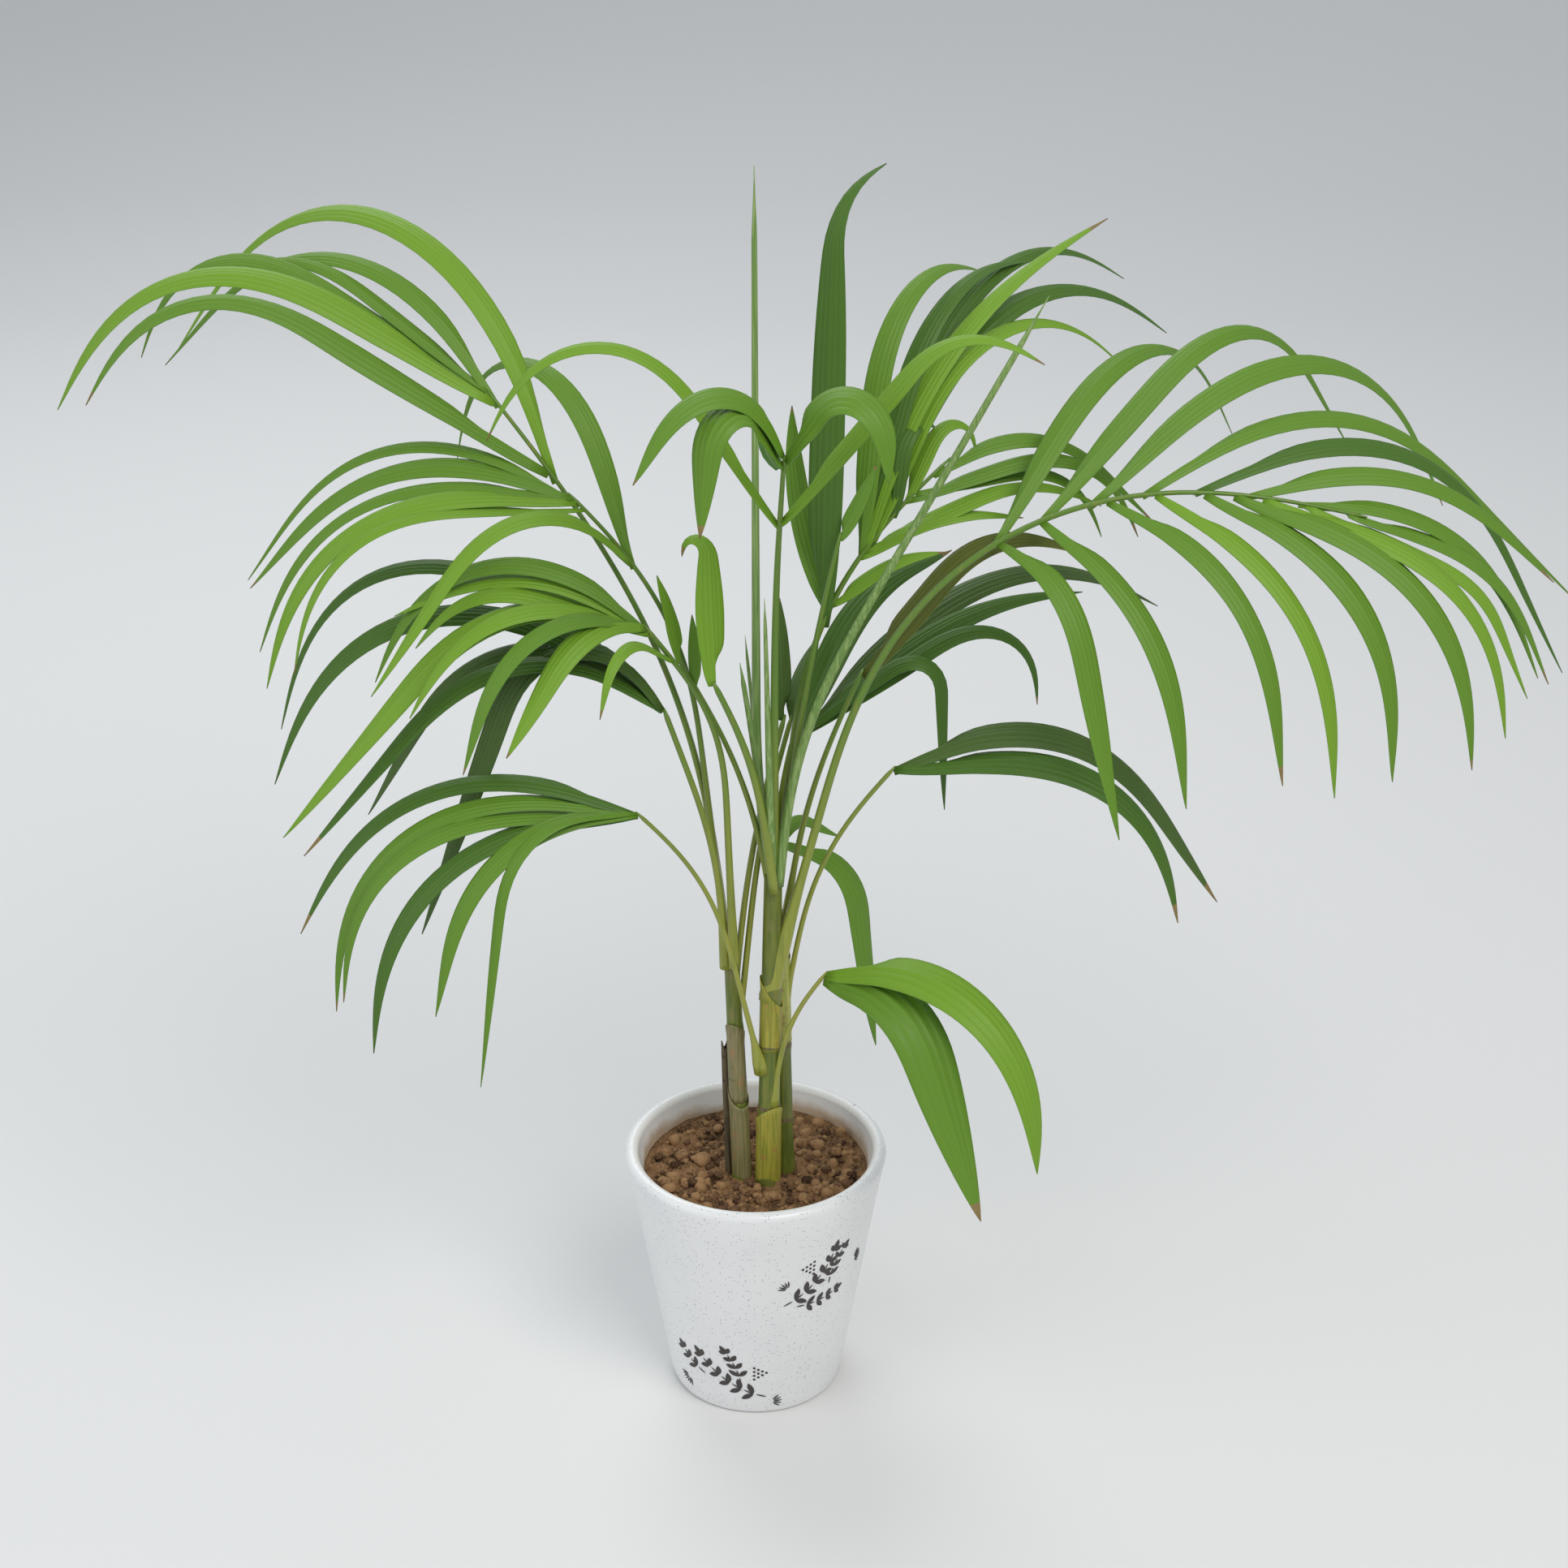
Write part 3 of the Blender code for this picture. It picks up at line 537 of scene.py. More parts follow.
        foot=(10, -18, 189), heading=-25, rise=83, fall=56, length=101, bend=(0.1, 1),
        radius=(1.7, 1.3), at=(0.99, 1.0), leaf_heading=(-46, -34), leaf_rise=(9, 25),
        leaf_fall=(-64, -87), leaf_length=(180, 201), leaf_width=(31, 26),
        leaf_bend=(0.1, 0), leaf_bend_end=(0.55, 1), tones=("mid", "fresh")),
    "back_low": dict(
        foot=(12, -7, 315), heading=80, rise=65, fall=50, length=32, radius=(2.0, 1.6),
        at=(0.97, 1.0), leaf_heading=(35, 8), leaf_rise=(70, -17), leaf_fall=(-37, -84),
        leaf_length=(50, 157), leaf_width=(9, 18), leaf_bend_end=(0.55, 0.5),
        tones=("mid",)),
}
print("fronds:", len(FRONDS), "leaflets:", sum(len(f["leaf_length"]) for f in FRONDS.values()))

# %% [markdown]
# ## Stalks and ribs
#
# A stalk starts as a sheath round the stem, narrows, and carries on as the rib of
# the blade. It is round below with a groove on its upper side, so a ring of points
# with a dent, swept along the limb, gives both.

# %% Stalk mesh and its finish
STALK_RING = 18
GROOVE_DEPTH = 0.24
GROOVE_WIDTH = 26
RING_STEP = 6


def limb_rings(limb, radii, fractions, groove=GROOVE_DEPTH):
    """Rings of points in millimetres round a limb, grooved along its upper side."""
    centre, side, _, up = frame_along(limb, fractions)
    turns = np.arange(STALK_RING) * 360 / STALK_RING
    dent = 1 - groove * np.exp(-((turns - 90) / GROOVE_WIDTH) ** 2)
    rings = []
    for place, radius, lift in zip(centre, radii, up):
        across = np.cos(np.radians(turns)) * dent * radius
        above = np.sin(np.radians(turns)) * dent * radius
        rings.append(place + np.outer(across, side) + np.outer(above, lift))
    return np.array(rings)


def stalk_material():
    """Smooth green stalk, yellower near the stem, with faint long streaks."""
    recipe = Recipe("stalk_green", (0.16, 0.25, 0.03), 0.38, {"Specular IOR Level": 0.5})
    streaks = recipe.grain(3, 3, stretch=(1, 1, 0.06))
    height = recipe.node("ShaderNodeSeparateXYZ", {}, {0: recipe.place()}, "Z")
    low, high = 0.26, 0.46
    green = recipe.mask((height - low) * (1 / (high - low)) + (streaks - 0.5) * 0.5, 0.1, 0.9)
    base = recipe.mix(green, (0.30, 0.31, 0.045), (0.115, 0.215, 0.022))
    recipe.set("Base Color", recipe.mix(recipe.mask(streaks, 0.55, 0.75), base, (0.20, 0.23, 0.03)))
    recipe.bump(streaks, 0.12)
    return recipe.material


STALK = stalk_material()


def grow_limb(name, limb, tip_share=1.0, sheath=None):
    """The grooved stalk and rib of a limb, from inside the stem to its end."""
    count = max(8, int(limb["length"] * tip_share / RING_STEP))
    fractions = np.linspace(0, tip_share, count)
    thick, thin = limb["radius"]
    radii = thick + (thin - thick) * fractions
    if sheath:
        wide, reach = sheath
        radii = radii + (wide - thick) * (1 - smooth(fractions * limb["length"] / reach))
    radii[-1] *= 0.5
    points, faces = loft(limb_rings(limb, radii, fractions))
    return mesh_object(name, points * MM, faces, [STALK])


print("stalk finish:", STALK.name)

# %% [markdown]
# ## Growing every frond
#
# The leaflets of a frond become one mesh, because they belong together and a few
# large meshes are quicker to draw than a hundred small ones. A seeded dice gives
# every leaflet its own small turn, ripple and tone, the same on every run.

# %% Fronds
dice = random.Random(11)
DARK_FRONDS = ("left_dark", "right_fan", "back_dark", "back_narrow", "right_mid")
SHEATHS = {
    "right_big": (6.0, 85), "left_low": (4.6, 26), "right_mid": (3.6, 30),
    "right_olive": (3.4, 34), "left_high": (3.4, 70), "left_light": (3.2, 60),
    "left_dark": (3.2, 50), "left_fan": (3.2, 60), "right_low": (3.4, 22),
}


def spread(values, count):
    """One value for each leaflet; a pair gives the first and the last."""
    if len(values) == count:
        return values
    first, last = values
    return [first + (last - first) * i / (count - 1) for i in range(count)]


def leaf_rows(frond, rib):
    """A dictionary for each leaflet of a frond, with its foot on the rib."""
    count = len(frond["leaf_length"])
    columns = {key: spread(frond["leaf_" + key], count) for key in ("heading", "rise", "fall")}
    places = arch(rib, spread(frond["at"], count))
    starts = spread(frond.get("leaf_bend", (0,) * count), count)
    ends = spread(frond.get("leaf_bend_end", (1,) * count), count)
    for i in range(count):
        yield dict(foot=places[i], length=frond["leaf_length"][i], width=frond["leaf_width"][i],
                   bend=(starts[i], ends[i]), **{key: columns[key][i] for key in columns})


def grow_leaves(name, frond, rib):
    """All leaflets of a frond as one two-sided mesh."""
    tones = list(frond["tones"])
    points, faces, finish = [], [], []
    for leaf in leaf_rows(frond, rib):
        tone = dice.choice(tones)
        start = sum(len(p) for p in points)
        points.append(blade_points(leaf, dice).reshape(-1, 3))
        dry = dice.choice((0, 0, 0.06, 0.1))
        more, tint = blade_faces(start, tone, tones, dry)
        faces += more
        finish += tint
    materials = [leaf_material(t, s) for t in tones for s in TOP_SIDES]
    materials += [leaf_material(t, s) for t in tones for s in UNDER_SIDES]
    made = mesh_object(name + "_leaves", np.vstack(points) * MM, faces, materials, finish)
    shell = made.modifiers.new("underside", "SOLIDIFY")
    shell.thickness = BLADE_THICKNESS * MM
    shell.offset = -1
    shell.material_offset = len(tones) * len(TOP_SIDES)
    return made


for name, frond in FRONDS.items():
    rib_name = frond.get("rib_of", name)
    if rib_name == name:
        stalk = grow_limb(name + "_rib", frond, sheath=SHEATHS.get(name))
        wear(stalk, "stalk", name + "_stalk")
    leaf_slot = "dark_leaf" if name in DARK_FRONDS else "leaf"
    wear(grow_leaves(name, frond, FRONDS[rib_name]), leaf_slot, rib_name + "_frond")
print("fronds grown:", len(FRONDS))

# %% [markdown]
# ## Closed young leaves
#
# A new frond comes up as a stiff spear, with its leaflets still folded round each
# other. It is a slim tube with fine ridges along it, drawn out to a point.

# %% Spears
SPEARS = {
    "tall_spear": dict(foot=(10, -15, 328), heading=175, rise=82, fall=90, length=393,
                       bend=(0, 0.3), radius=(2.9, 1.4)),
    "leaning_spear": dict(foot=(13, -18, 329), heading=0, rise=85, fall=62, length=358,
                          bend=(0, 0.5), radius=(3.0, 1.6)),
    "short_spear_left": dict(foot=(10, -17, 329), heading=215, rise=83, fall=80, length=137,
                             radius=(2.4, 1.2)),
    "short_spear_middle": dict(foot=(11, -14, 327), heading=140, rise=81, fall=83, length=143,
                               radius=(2.0, 0.7)),
    "short_spear_right": dict(foot=(11, -15, 328), heading=-100, rise=76, fall=83, length=180,
                              bend=(0.1, 0.35), radius=(2.6, 0.8)),
}
SPEAR_RIDGES = 5


def spear_material():
    """Pale green folded leaf with fine lines along it."""
    recipe = Recipe("spear_green", (0.18, 0.30, 0.07), 0.42, {"Specular IOR Level": 0.5})
    lines = recipe.grain(0.9, 2, stretch=(1, 1, 0.03))
    recipe.set("Base Color", recipe.mix(recipe.mask(lines, 0.4, 0.65),
                                        (0.13, 0.24, 0.045), (0.27, 0.38, 0.12)))
    recipe.bump(lines, 0.15)
    return recipe.material


def grow_spear(name, spear):
    """A ridged spear that ends in a point."""
    fractions = np.linspace(0, 1, int(spear["length"] / RING_STEP))
    thick, thin = spear["radius"]
    radii = (thick + (thin - thick) * fractions) * (1 - smooth((fractions - 0.9) / 0.1) * 0.85)
    rings = limb_rings(spear, radii, fractions, groove=0.3)
    centre = rings.mean(axis=1, keepdims=True)
    turns = np.arange(STALK_RING) * 2 * math.pi / STALK_RING
    ridge = 1 + 0.07 * np.cos(SPEAR_RIDGES * turns)
    rings = centre + (rings - centre) * ridge[None, :, None]
    points, faces = loft(rings)
    return mesh_object(name + "_blade", points * MM, faces, [SPEAR])


SPEAR = spear_material()
for name, spear in SPEARS.items():
    wear(grow_spear(name, spear), "leaf", name)
print("spears:", len(SPEARS))

# %% [markdown]
# ## Stems
#
# The stem of an areca is a ringed cane. Old sheaths clasp it for a while, split to
# a slanting lip, turn yellow and dry up. Each cane is a tube with a swelling at its
# rings, and each sheath a thin collar round it whose top edge is cut at a slant.

# %% Canes, collars and the dry sheath
CANE_RING = 40
CANE_STEP = 2.5


def cane_material():
    """Green cane with long streaks and grey bloom."""
    recipe = Recipe("cane_green", (0.16, 0.19, 0.03), 0.45)
    streaks = recipe.grain(2.2, 4, stretch=(1, 1, 0.08))
    patches = recipe.grain(14, 3)
    green = recipe.mix(recipe.mask(streaks, 0.35, 0.7), (0.085, 0.125, 0.012), (0.19, 0.21, 0.025))
    bloom = recipe.mask(patches, 0.5, 0.72) * 0.5
    recipe.set("Base Color", recipe.mix(bloom, green, (0.24, 0.19, 0.07)))
    recipe.bump(streaks, 0.2)
    return recipe.material


def sheath_material(name, base, streak, edge, roughness=0.5):
    """A dull sheath with long veins of another colour and darker freckles."""
    recipe = Recipe(name, base, roughness)
    veins = recipe.grain(1.1, 3, stretch=(1, 1, 0.05))
    spots = recipe.grain(5, 4)
    lined = recipe.mix(recipe.mask(veins, 0.42, 0.66), base, streak)
    recipe.set("Base Color", recipe.mix(recipe.mask(spots, 0.58, 0.7) * 0.7, lined, edge))
    recipe.bump(veins, 0.25)
    return recipe.material


CANE = cane_material()
YELLOW = sheath_material("sheath_yellow", (0.38, 0.33, 0.04), (0.20, 0.22, 0.02), (0.36, 0.17, 0.05))
GREY = sheath_material("sheath_grey", (0.24, 0.20, 0.09), (0.13, 0.14, 0.04), (0.33, 0.16, 0.06))
PALE = sheath_material("sheath_pale", (0.45, 0.44, 0.12), (0.28, 0.33, 0.05), (0.30, 0.20, 0.06))
SCAR = sheath_material("ring_scar", (0.16, 0.12, 0.04), (0.10, 0.08, 0.03), (0.05, 0.03, 0.015))
DRY = sheath_material("sheath_dry", (0.115, 0.085, 0.040), (0.05, 0.035, 0.018),
                      (0.02, 0.014, 0.008), 0.8)

RING_HEIGHTS = {"left": (166, 205, 236), "middle": (186, 228, 262), "right": (172, 221, 246)}
RING_SWELL = 0.55
SCAR_HALF = 1.1


def grow_cane(name, stem):
    """A cane with swollen rings, each with a dark scar."""
    count = int(stem["length"] / CANE_STEP)
    fractions = np.linspace(0, 1, count)
    centre, side, _, up = frame_along(stem, fractions)
    thick, thin = stem["radius"]
    radii = thick + (thin - thick) * fractions + 0.9 * (1 - smooth(fractions / 0.12))
    heights = centre[:, 2]
    for ring in RING_HEIGHTS[name]:
        radii = radii + RING_SWELL * np.exp(-((heights - ring) / 2.6) ** 2)
    turns = np.arange(CANE_RING) * 2 * math.pi / CANE_RING
    wobble = 1 + 0.015 * np.cos(2 * turns + len(name))
    rings = np.array([c + np.outer(np.cos(turns) * wobble * r, side)
                      + np.outer(np.sin(turns) * wobble * r, lift)
                      for c, r, lift in zip(centre, radii, up)])
    points, faces = loft(rings)
    tones = []
    for row in range(count - 1):
        middle = (heights[row] + heights[row + 1]) / 2
        scarred = any(abs(middle - ring - 1.5) < SCAR_HALF for ring in RING_HEIGHTS[name])
        tones += [1 if scarred else 0] * CANE_RING
    return mesh_object(f"stem_{name}_cane", points * MM, faces, [CANE, SCAR], tones + [0, 0])


def grow_collar(name, stem, low, high, slant, lip_heading, proud, material):
    """A thin sheath round a stem, between two heights, with a slanting lip."""
    rows = int((high - low) / 3) + 2
    turns = np.arange(CANE_RING) * 2 * math.pi / CANE_RING
    lip = high + slant * np.cos(turns - math.radians(lip_heading))
    thick, thin = stem["radius"]
    rings = []
    for row in range(rows):
        share = row / (rows - 1)
        heights = low + (lip - low) * share
        fractions = np.clip((heights - stem["foot"][2]) / stem["length"], 0, 1)
        centre = arch(stem, fractions)
        flare = 0.5 * smooth((share - 0.85) / 0.15)
        radius = thick + (thin - thick) * fractions + proud + flare
        ring = centre + np.stack([np.cos(turns) * radius, np.sin(turns) * radius,
                                  np.zeros(CANE_RING)], axis=1)
        rings.append(ring)
    points, faces = loft(np.array(rings), capped=False)
    collar = mesh_object(name, points * MM, faces, [material])
    shell = collar.modifiers.new("sheath", "SOLIDIFY")
    shell.thickness = 0.35 * MM
    return collar


for name, stem in STEMS.items():
    wear(grow_cane(name, stem), "stem", "stem_" + name)

COLLARS = (
    ("sheath_left_low", "left", 134, 193, 6, 120, 0.7, GREY),
    ("sheath_left_high", "left", 190, 236, 5, 250, 0.5, GREY),
    ("sheath_middle_low", "middle", 134, 183, 7, -60, 0.8, YELLOW),
    ("sheath_middle_high", "middle", 226, 262, 9, 170, 0.5, YELLOW),
    ("sheath_right_high", "right", 224, 283, 6, 160, 0.6, PALE),
)
for name, stem_name, low, high, slant, lip_heading, proud, material in COLLARS:
    collar = grow_collar(name, STEMS[stem_name], low, high, slant, lip_heading, proud, material)
    wear(collar, "stem")


def grow_dead_sheath():
    """The hollow dry sheath beside the left stem, open at its torn top."""
    rows = 24
    turns = np.arange(CANE_RING) * 2 * math.pi / CANE_RING
    fractions = np.linspace(0, 1, rows)
    centre = arch(DEAD_SHEATH, fractions)
    thick, thin = DEAD_SHEATH["radius"]
    rings = []
    for place, share in zip(centre, fractions):
        radius = (thick + (thin - thick) * share) * (1 + 0.08 * np.sin(3 * turns + 5 * share))
        torn = 2.5 * smooth((share - 0.9) / 0.1) * np.sin(2 * turns + 1)
        rings.append(place + np.stack([np.cos(turns) * radius, np.sin(turns) * radius, torn], axis=1))
    points, faces = loft(np.array(rings), capped=False)
    made = mesh_object("dead_sheath_husk", points * MM, faces, [DRY])
    shell = made.modifiers.new("husk", "SOLIDIFY")
    shell.thickness = 0.4 * MM
    return made


wear(grow_dead_sheath(), "dry", "dead_sheath")
print("canes:", len(STEMS), "collars:", len(COLLARS))

# %% [markdown]
# ## The pot
#
# The pot is turned, so its shape is one profile spun round the middle with a Screw
# modifier. Its glaze is white with fine blue-grey specks, small brown iron marks
# along the rim and a tide line of old soil inside.

# %% Pot
POT_HEIGHT = 153
RIM_RADIUS = 75
FOOT_RADIUS = 49.5
POT_WALL = 8.5
POT_FLOOR = 9
LIP_ROUND = 4
POT_STEPS = 160
SOIL_TOP = 138


def outer_radius(height):
    """Radius of the pot's outside at a height."""
    return FOOT_RADIUS + (RIM_RADIUS - FOOT_RADIUS) * height / POT_HEIGHT


def inner_radius(height):
    """Radius of the pot's inside at a height."""
    return outer_radius(height) - POT_WALL


def rounded(centre, radius, start, stop, steps):
    """Points on a round edge in (radius, height)."""
    angles = [math.radians(start + (stop - start) * i / steps) for i in range(steps + 1)]
    return [(centre[0] + radius * math.cos(a), centre[1] + radius * math.sin(a)) for a in angles]


def glaze_material():
    """White glaze with specks, iron marks near the rim and faint grey clouds."""
    recipe = Recipe("speckled_glaze", (0.80, 0.79, 0.77), 0.34, {"Specular IOR Level": 0.5})
    recipe.set("Coat Weight", 0.25)
    recipe.set("Coat Roughness", 0.22)
    spot = recipe.place()
    height = recipe.node("ShaderNodeSeparateXYZ", {}, {0: spot}, "Z")
    cells = recipe.node("ShaderNodeTexVoronoi", {}, {"Vector": spot, "Scale": 620.0}, "Distance")
    chance = recipe.node("ShaderNodeTexVoronoi", {}, {"Vector": spot, "Scale": 620.0}, "Color")
    picked = recipe.node("ShaderNodeSeparateColor", {}, {0: chance}, "Red")
    specks = (1 - recipe.mask(cells, 0.16, 0.26)) * recipe.mask(picked, 0.62, 0.66)
    marks = recipe.node("ShaderNodeTexVoronoi", {}, {"Vector": spot, "Scale": 95.0}, "Distance")
    which = recipe.node("ShaderNodeTexVoronoi", {}, {"Vector": spot, "Scale": 95.0}, "Color")
    rare = recipe.node("ShaderNodeSeparateColor", {}, {0: which}, "Green")
    near_rim = recipe.mask(height, 0.142, 0.150)
    iron = (1 - recipe.mask(marks, 0.10, 0.16)) * recipe.mask(rare, 0.80, 0.82) * near_rim
    cloud = recipe.mask(recipe.grain(38, 4), 0.42, 0.75) * 0.35
    white = recipe.mix(cloud, (0.80, 0.795, 0.785), (0.70, 0.69, 0.70))
    with_specks = recipe.mix(specks * 0.85, white, (0.20, 0.22, 0.29))
    recipe.set("Base Color", recipe.mix(iron, with_specks, (0.055, 0.04, 0.032)))
    recipe.bump(recipe.grain(16, 3), 0.35)
    return recipe.material


def stained_material():
    """The inside of the pot: the same white, with a brown tide line of soil."""
    recipe = Recipe("stained_glaze", (0.78, 0.76, 0.72), 0.4)
    height = recipe.node("ShaderNodeSeparateXYZ", {}, {0: recipe.place()}, "Z")
    ragged = height + (recipe.grain(17, 5) - 0.5) * 0.014
    stain = 1 - recipe.mask(ragged, 0.1395, 0.1455)
    recipe.set("Base Color", recipe.mix(stain * 0.8, (0.78, 0.76, 0.72), (0.42, 0.27, 0.14)))
    recipe.bump(recipe.grain(4, 3), 0.2)
    return recipe.material


def turned(name, profile, materials):
    """Spins a profile, listed down its outer side, round the Z axis."""
    mesh = bpy.data.meshes.new(name)
    mesh.from_pydata([(r * MM, 0, z * MM) for r, z in profile],
                     [(i, i + 1) for i in range(len(profile) - 1)], [])
    for material in materials:
        mesh.materials.append(material)
    made = bpy.data.objects.new(name, mesh)
    bpy.context.scene.collection.objects.link(made)
    screw = made.modifiers.new("turn", "SCREW")
    screw.steps = POT_STEPS
    screw.render_steps = POT_STEPS
    screw.use_merge_vertices = True
    screw.merge_threshold = 0.00001
    screw.use_smooth_shade = True
    return made


lip = rounded((RIM_RADIUS - LIP_ROUND, POT_HEIGHT - LIP_ROUND), LIP_ROUND, 100, 0, 12)
wall_down = [(outer_radius(z), z) for z in (132, 110, 85, 60, 35, 12, 5)]
foot_edge = rounded((FOOT_RADIUS - 3, 3), 3, -8, -90, 8)
outside = lip + wall_down + foot_edge + [(44, 0), (42.5, 1.4), (20, 1.4), (0, 1.4)]
inside = [(0, POT_FLOOR), (30, POT_FLOOR), (inner_radius(POT_FLOOR) - 3, POT_FLOOR),
          (inner_radius(14), 14), (inner_radius(60), 60), (inner_radius(110), 110),
          (inner_radius(143), 143)]
inside += rounded((RIM_RADIUS - LIP_ROUND, POT_HEIGHT - LIP_ROUND), LIP_ROUND, 180, 100, 8)
pot = turned("pot_body", outside, [glaze_material()])
liner = turned("pot_inside", inside, [stained_material()])
wear(pot, "glaze", "pot")
wear(liner, "glaze")
print("pot wall points:", len(outside) + len(inside))

# %% [markdown]
# ## Sprigs on the pot
#
# The pot carries two small dark prints of leaves, berries and dashes. They could be
# an image, but this way each leaf is a thin raised shape of its own, drawn flat in
# millimetres and then wrapped round the cone of the wall.

# %% Printed sprigs
PRINT_PROUD = 0.12


def lens(length, width, steps=9):
    """Outline of a pointed leaf along +X, from its foot at the origin."""
    upper = [(length * i / steps, width / 2 * math.sin(math.pi * i / steps) ** 0.8)
             for i in range(steps + 1)]
    return upper + [(x, -y) for x, y in reversed(upper[1:-1])]


def disc(radius, steps=12):
    """Outline of a round berry."""
    return [(radius * math.cos(2 * math.pi * i / steps), radius * math.sin(2 * math.pi * i / steps))
            for i in range(steps)]


def moved(outline, x, y, turn):
    """An outline turned by degrees and set down at a place."""
    c, s = math.cos(math.radians(turn)), math.sin(math.radians(turn))
    return [(x + c * u - s * v, y + s * u + c * v) for u, v in outline]


def sprig(x, y, turn, curve, pairs, length, leaf, width):
    """Outlines of a bent twig with pairs of leaves and one at its end."""
    shapes = []
    step = length / pairs
    for i in range(pairs):
        heading = turn + curve * i / pairs
        shapes.append(moved(lens(step * 0.8, 0.9), x, y, heading))
        x += step * math.cos(math.radians(heading))
        y += step * math.sin(math.radians(heading))
        size = leaf * (1 - 0.45 * i / pairs)
        for side in (52, -52):
            shapes.append(moved(lens(size, width), x, y, heading + side))
    shapes.append(moved(lens(leaf * 0.9, width), x, y, turn + curve))
    return shapes


def berries(x, y, turn, rows):
    """Rows of small dots that widen from a point."""
    shapes = []
    for row in range(rows):
        for i in range(row + 1):
            along, off = 2.7 * row, 2.6 * (i - row / 2)
            c, s = math.cos(math.radians(turn)), math.sin(math.radians(turn))
            shapes.append(moved(disc(0.85), x + c * along - s * off, y + s * along + c * off, 0))
    return shapes


def dashes(x, y, first, last, count, near, far):
    """A fan of short strokes round a place."""
    shapes = []
    for i in range(count):
        turn = first + (last - first) * i / (count - 1)
        c, s = math.cos(math.radians(turn)), math.sin(math.radians(turn))
        shapes.append(moved(lens(far - near, 0.9), x + c * near, y + s * near, turn))
    return shapes


def wrapped_print(name, centre_heading, shapes, material):
    """Wraps flat outlines round the pot, centred on a heading."""
    shape_mesh = bmesh.new()
    for outline in shapes:
        corners = []
        for u, v in outline:
            radius = outer_radius(v) + PRINT_PROUD
            turn = math.radians(centre_heading) + u / radius
            corners.append(shape_mesh.verts.new(
                (radius * math.cos(turn) * MM, radius * math.sin(turn) * MM, v * MM)))
        shape_mesh.faces.new(corners)
    mesh = bpy.data.meshes.new(name)
    shape_mesh.to_mesh(mesh)
    shape_mesh.free()
    mesh.materials.append(material)
    made = bpy.data.objects.new(name, mesh)
    bpy.context.scene.collection.objects.link(made)
    body = made.modifiers.new("print", "SOLIDIFY")
    body.thickness = (PRINT_PROUD + 0.06) * MM
    body.offset = -1
    return made


INK = Recipe("dark_print", (0.045, 0.038, 0.034), 0.55).material
upper_print = (
    sprig(-26, 84, 28, 46, 6, 44, 8.5, 3.4)
    + sprig(-18, 82, -4, 22, 4, 26, 7, 3.0)
    + sprig(2, 92, 84, -40, 4, 24, 6.5, 2.8)
    + berries(-10, 104, 118, 4)
    + dashes(22, 98, -30, 60, 7, 2.5, 8)
    + dashes(-24, 96, 100, 170, 5, 2, 7))
lower_print = (
    sprig(26, 14, 160, -34, 6, 46, 8.5, 3.4)
    + sprig(12, 24, 96, 30, 4, 24, 7, 3.0)
    + sprig(-10, 26, 150, -30, 3, 20, 7, 3.0)
    + berries(20, 28, 60, 4)
    + dashes(-22, 18, 180, 275, 7, 2.5, 8)
    + dashes(28, 10, -40, 40, 5, 2, 7))
UPPER_HEADING, LOWER_HEADING = -52, -112
wear(wrapped_print("print_upper", UPPER_HEADING, upper_print, INK), "glaze")
wear(wrapped_print("print_lower", LOWER_HEADING, lower_print, INK), "glaze")
print("printed shapes:", len(upper_print) + len(lower_print))

# %% [markdown]
# ## Soil
#
# Potting soil is a heap of crumbs: pale and dusty on top, nearly black in the gaps.
# Its finish paints the hollows dark, partly as damp soil and partly as painted shade.
# A disc of fine rings is raised by layered noise, and a few hundred loose crumbs are
# scattered over it by a seeded dice and seated into the surface.

# %% Soil surface and crumbs
SOIL_RINGS = 70
SOIL_AROUND = 220
SOIL_LUMP = 3.2
SOIL_MOUND = 2.0


def soil_height(x, y):
    """Height of the soil in millimetres at a place."""
    spot = Vector((x, y, 0)) / 11
    lumps = noise.noise(spot) + 0.5 * noise.noise(spot * 2.3)
    mound = SOIL_MOUND * math.exp(-(x * x + y * y) / 900)
    crumbs = abs(noise.noise(spot * 4.6)) * 2.6 + abs(noise.noise(spot * 10)) * 1.5
    crumbs += abs(noise.noise(spot * 22)) * 0.7
    return SOIL_TOP + mound + SOIL_LUMP * lumps + crumbs - 1.2


def soil_material(name, dusty, dark, share):
    """Crumbly soil: dusty tops over dark damp soil, with painted shade in the bump's hollows."""
    recipe = Recipe(name, dusty, 0.95, {"Specular IOR Level": 0.15})
    patches = recipe.grain(9, 6)
    fine = recipe.grain(1.6, 5)
    # Painted shade: the colour turns dark where the fine bump dips, partly damp soil and partly shade
    # painted in.
    dust_vs_damp_and_shade = recipe.mask(patches * 0.6 + fine * 0.4, share - 0.09, share + 0.07)
    recipe.set("Base Color", recipe.mix(dust_vs_damp_and_shade, dark, dusty))
    recipe.bump(fine, 0.7)
    return recipe.material


def make_soil():
    """The soil's lumpy top, with a skirt down the inside of the pot."""
    edge = inner_radius(SOIL_TOP) - 0.2
    rings = []
    turns = np.arange(SOIL_AROUND) * 2 * math.pi / SOIL_AROUND
    for ring in range(1, SOIL_RINGS + 1):
        radius = edge * ring / SOIL_RINGS
        calm = 1 if ring < SOIL_RINGS - 3 else 0.25
        row = []
        for turn in turns:
            x, y = radius * math.cos(turn), radius * math.sin(turn)
            row.append((x, y, SOIL_TOP + (soil_height(x, y) - SOIL_TOP) * calm))
        rings.append(row)
    for height in (110, 60, POT_FLOOR + 6, POT_FLOOR + 0.3):
        radius = inner_radius(max(height, 16)) - 0.5
        rings.append([(radius * math.cos(t), radius * math.sin(t), height) for t in turns])
    points, faces = loft(np.array(rings)[::-1])
    return mesh_object("soil_surface", points * MM, faces,
                       [soil_material("soil", (0.26, 0.145, 0.068), (0.05, 0.026, 0.014), 0.47)])


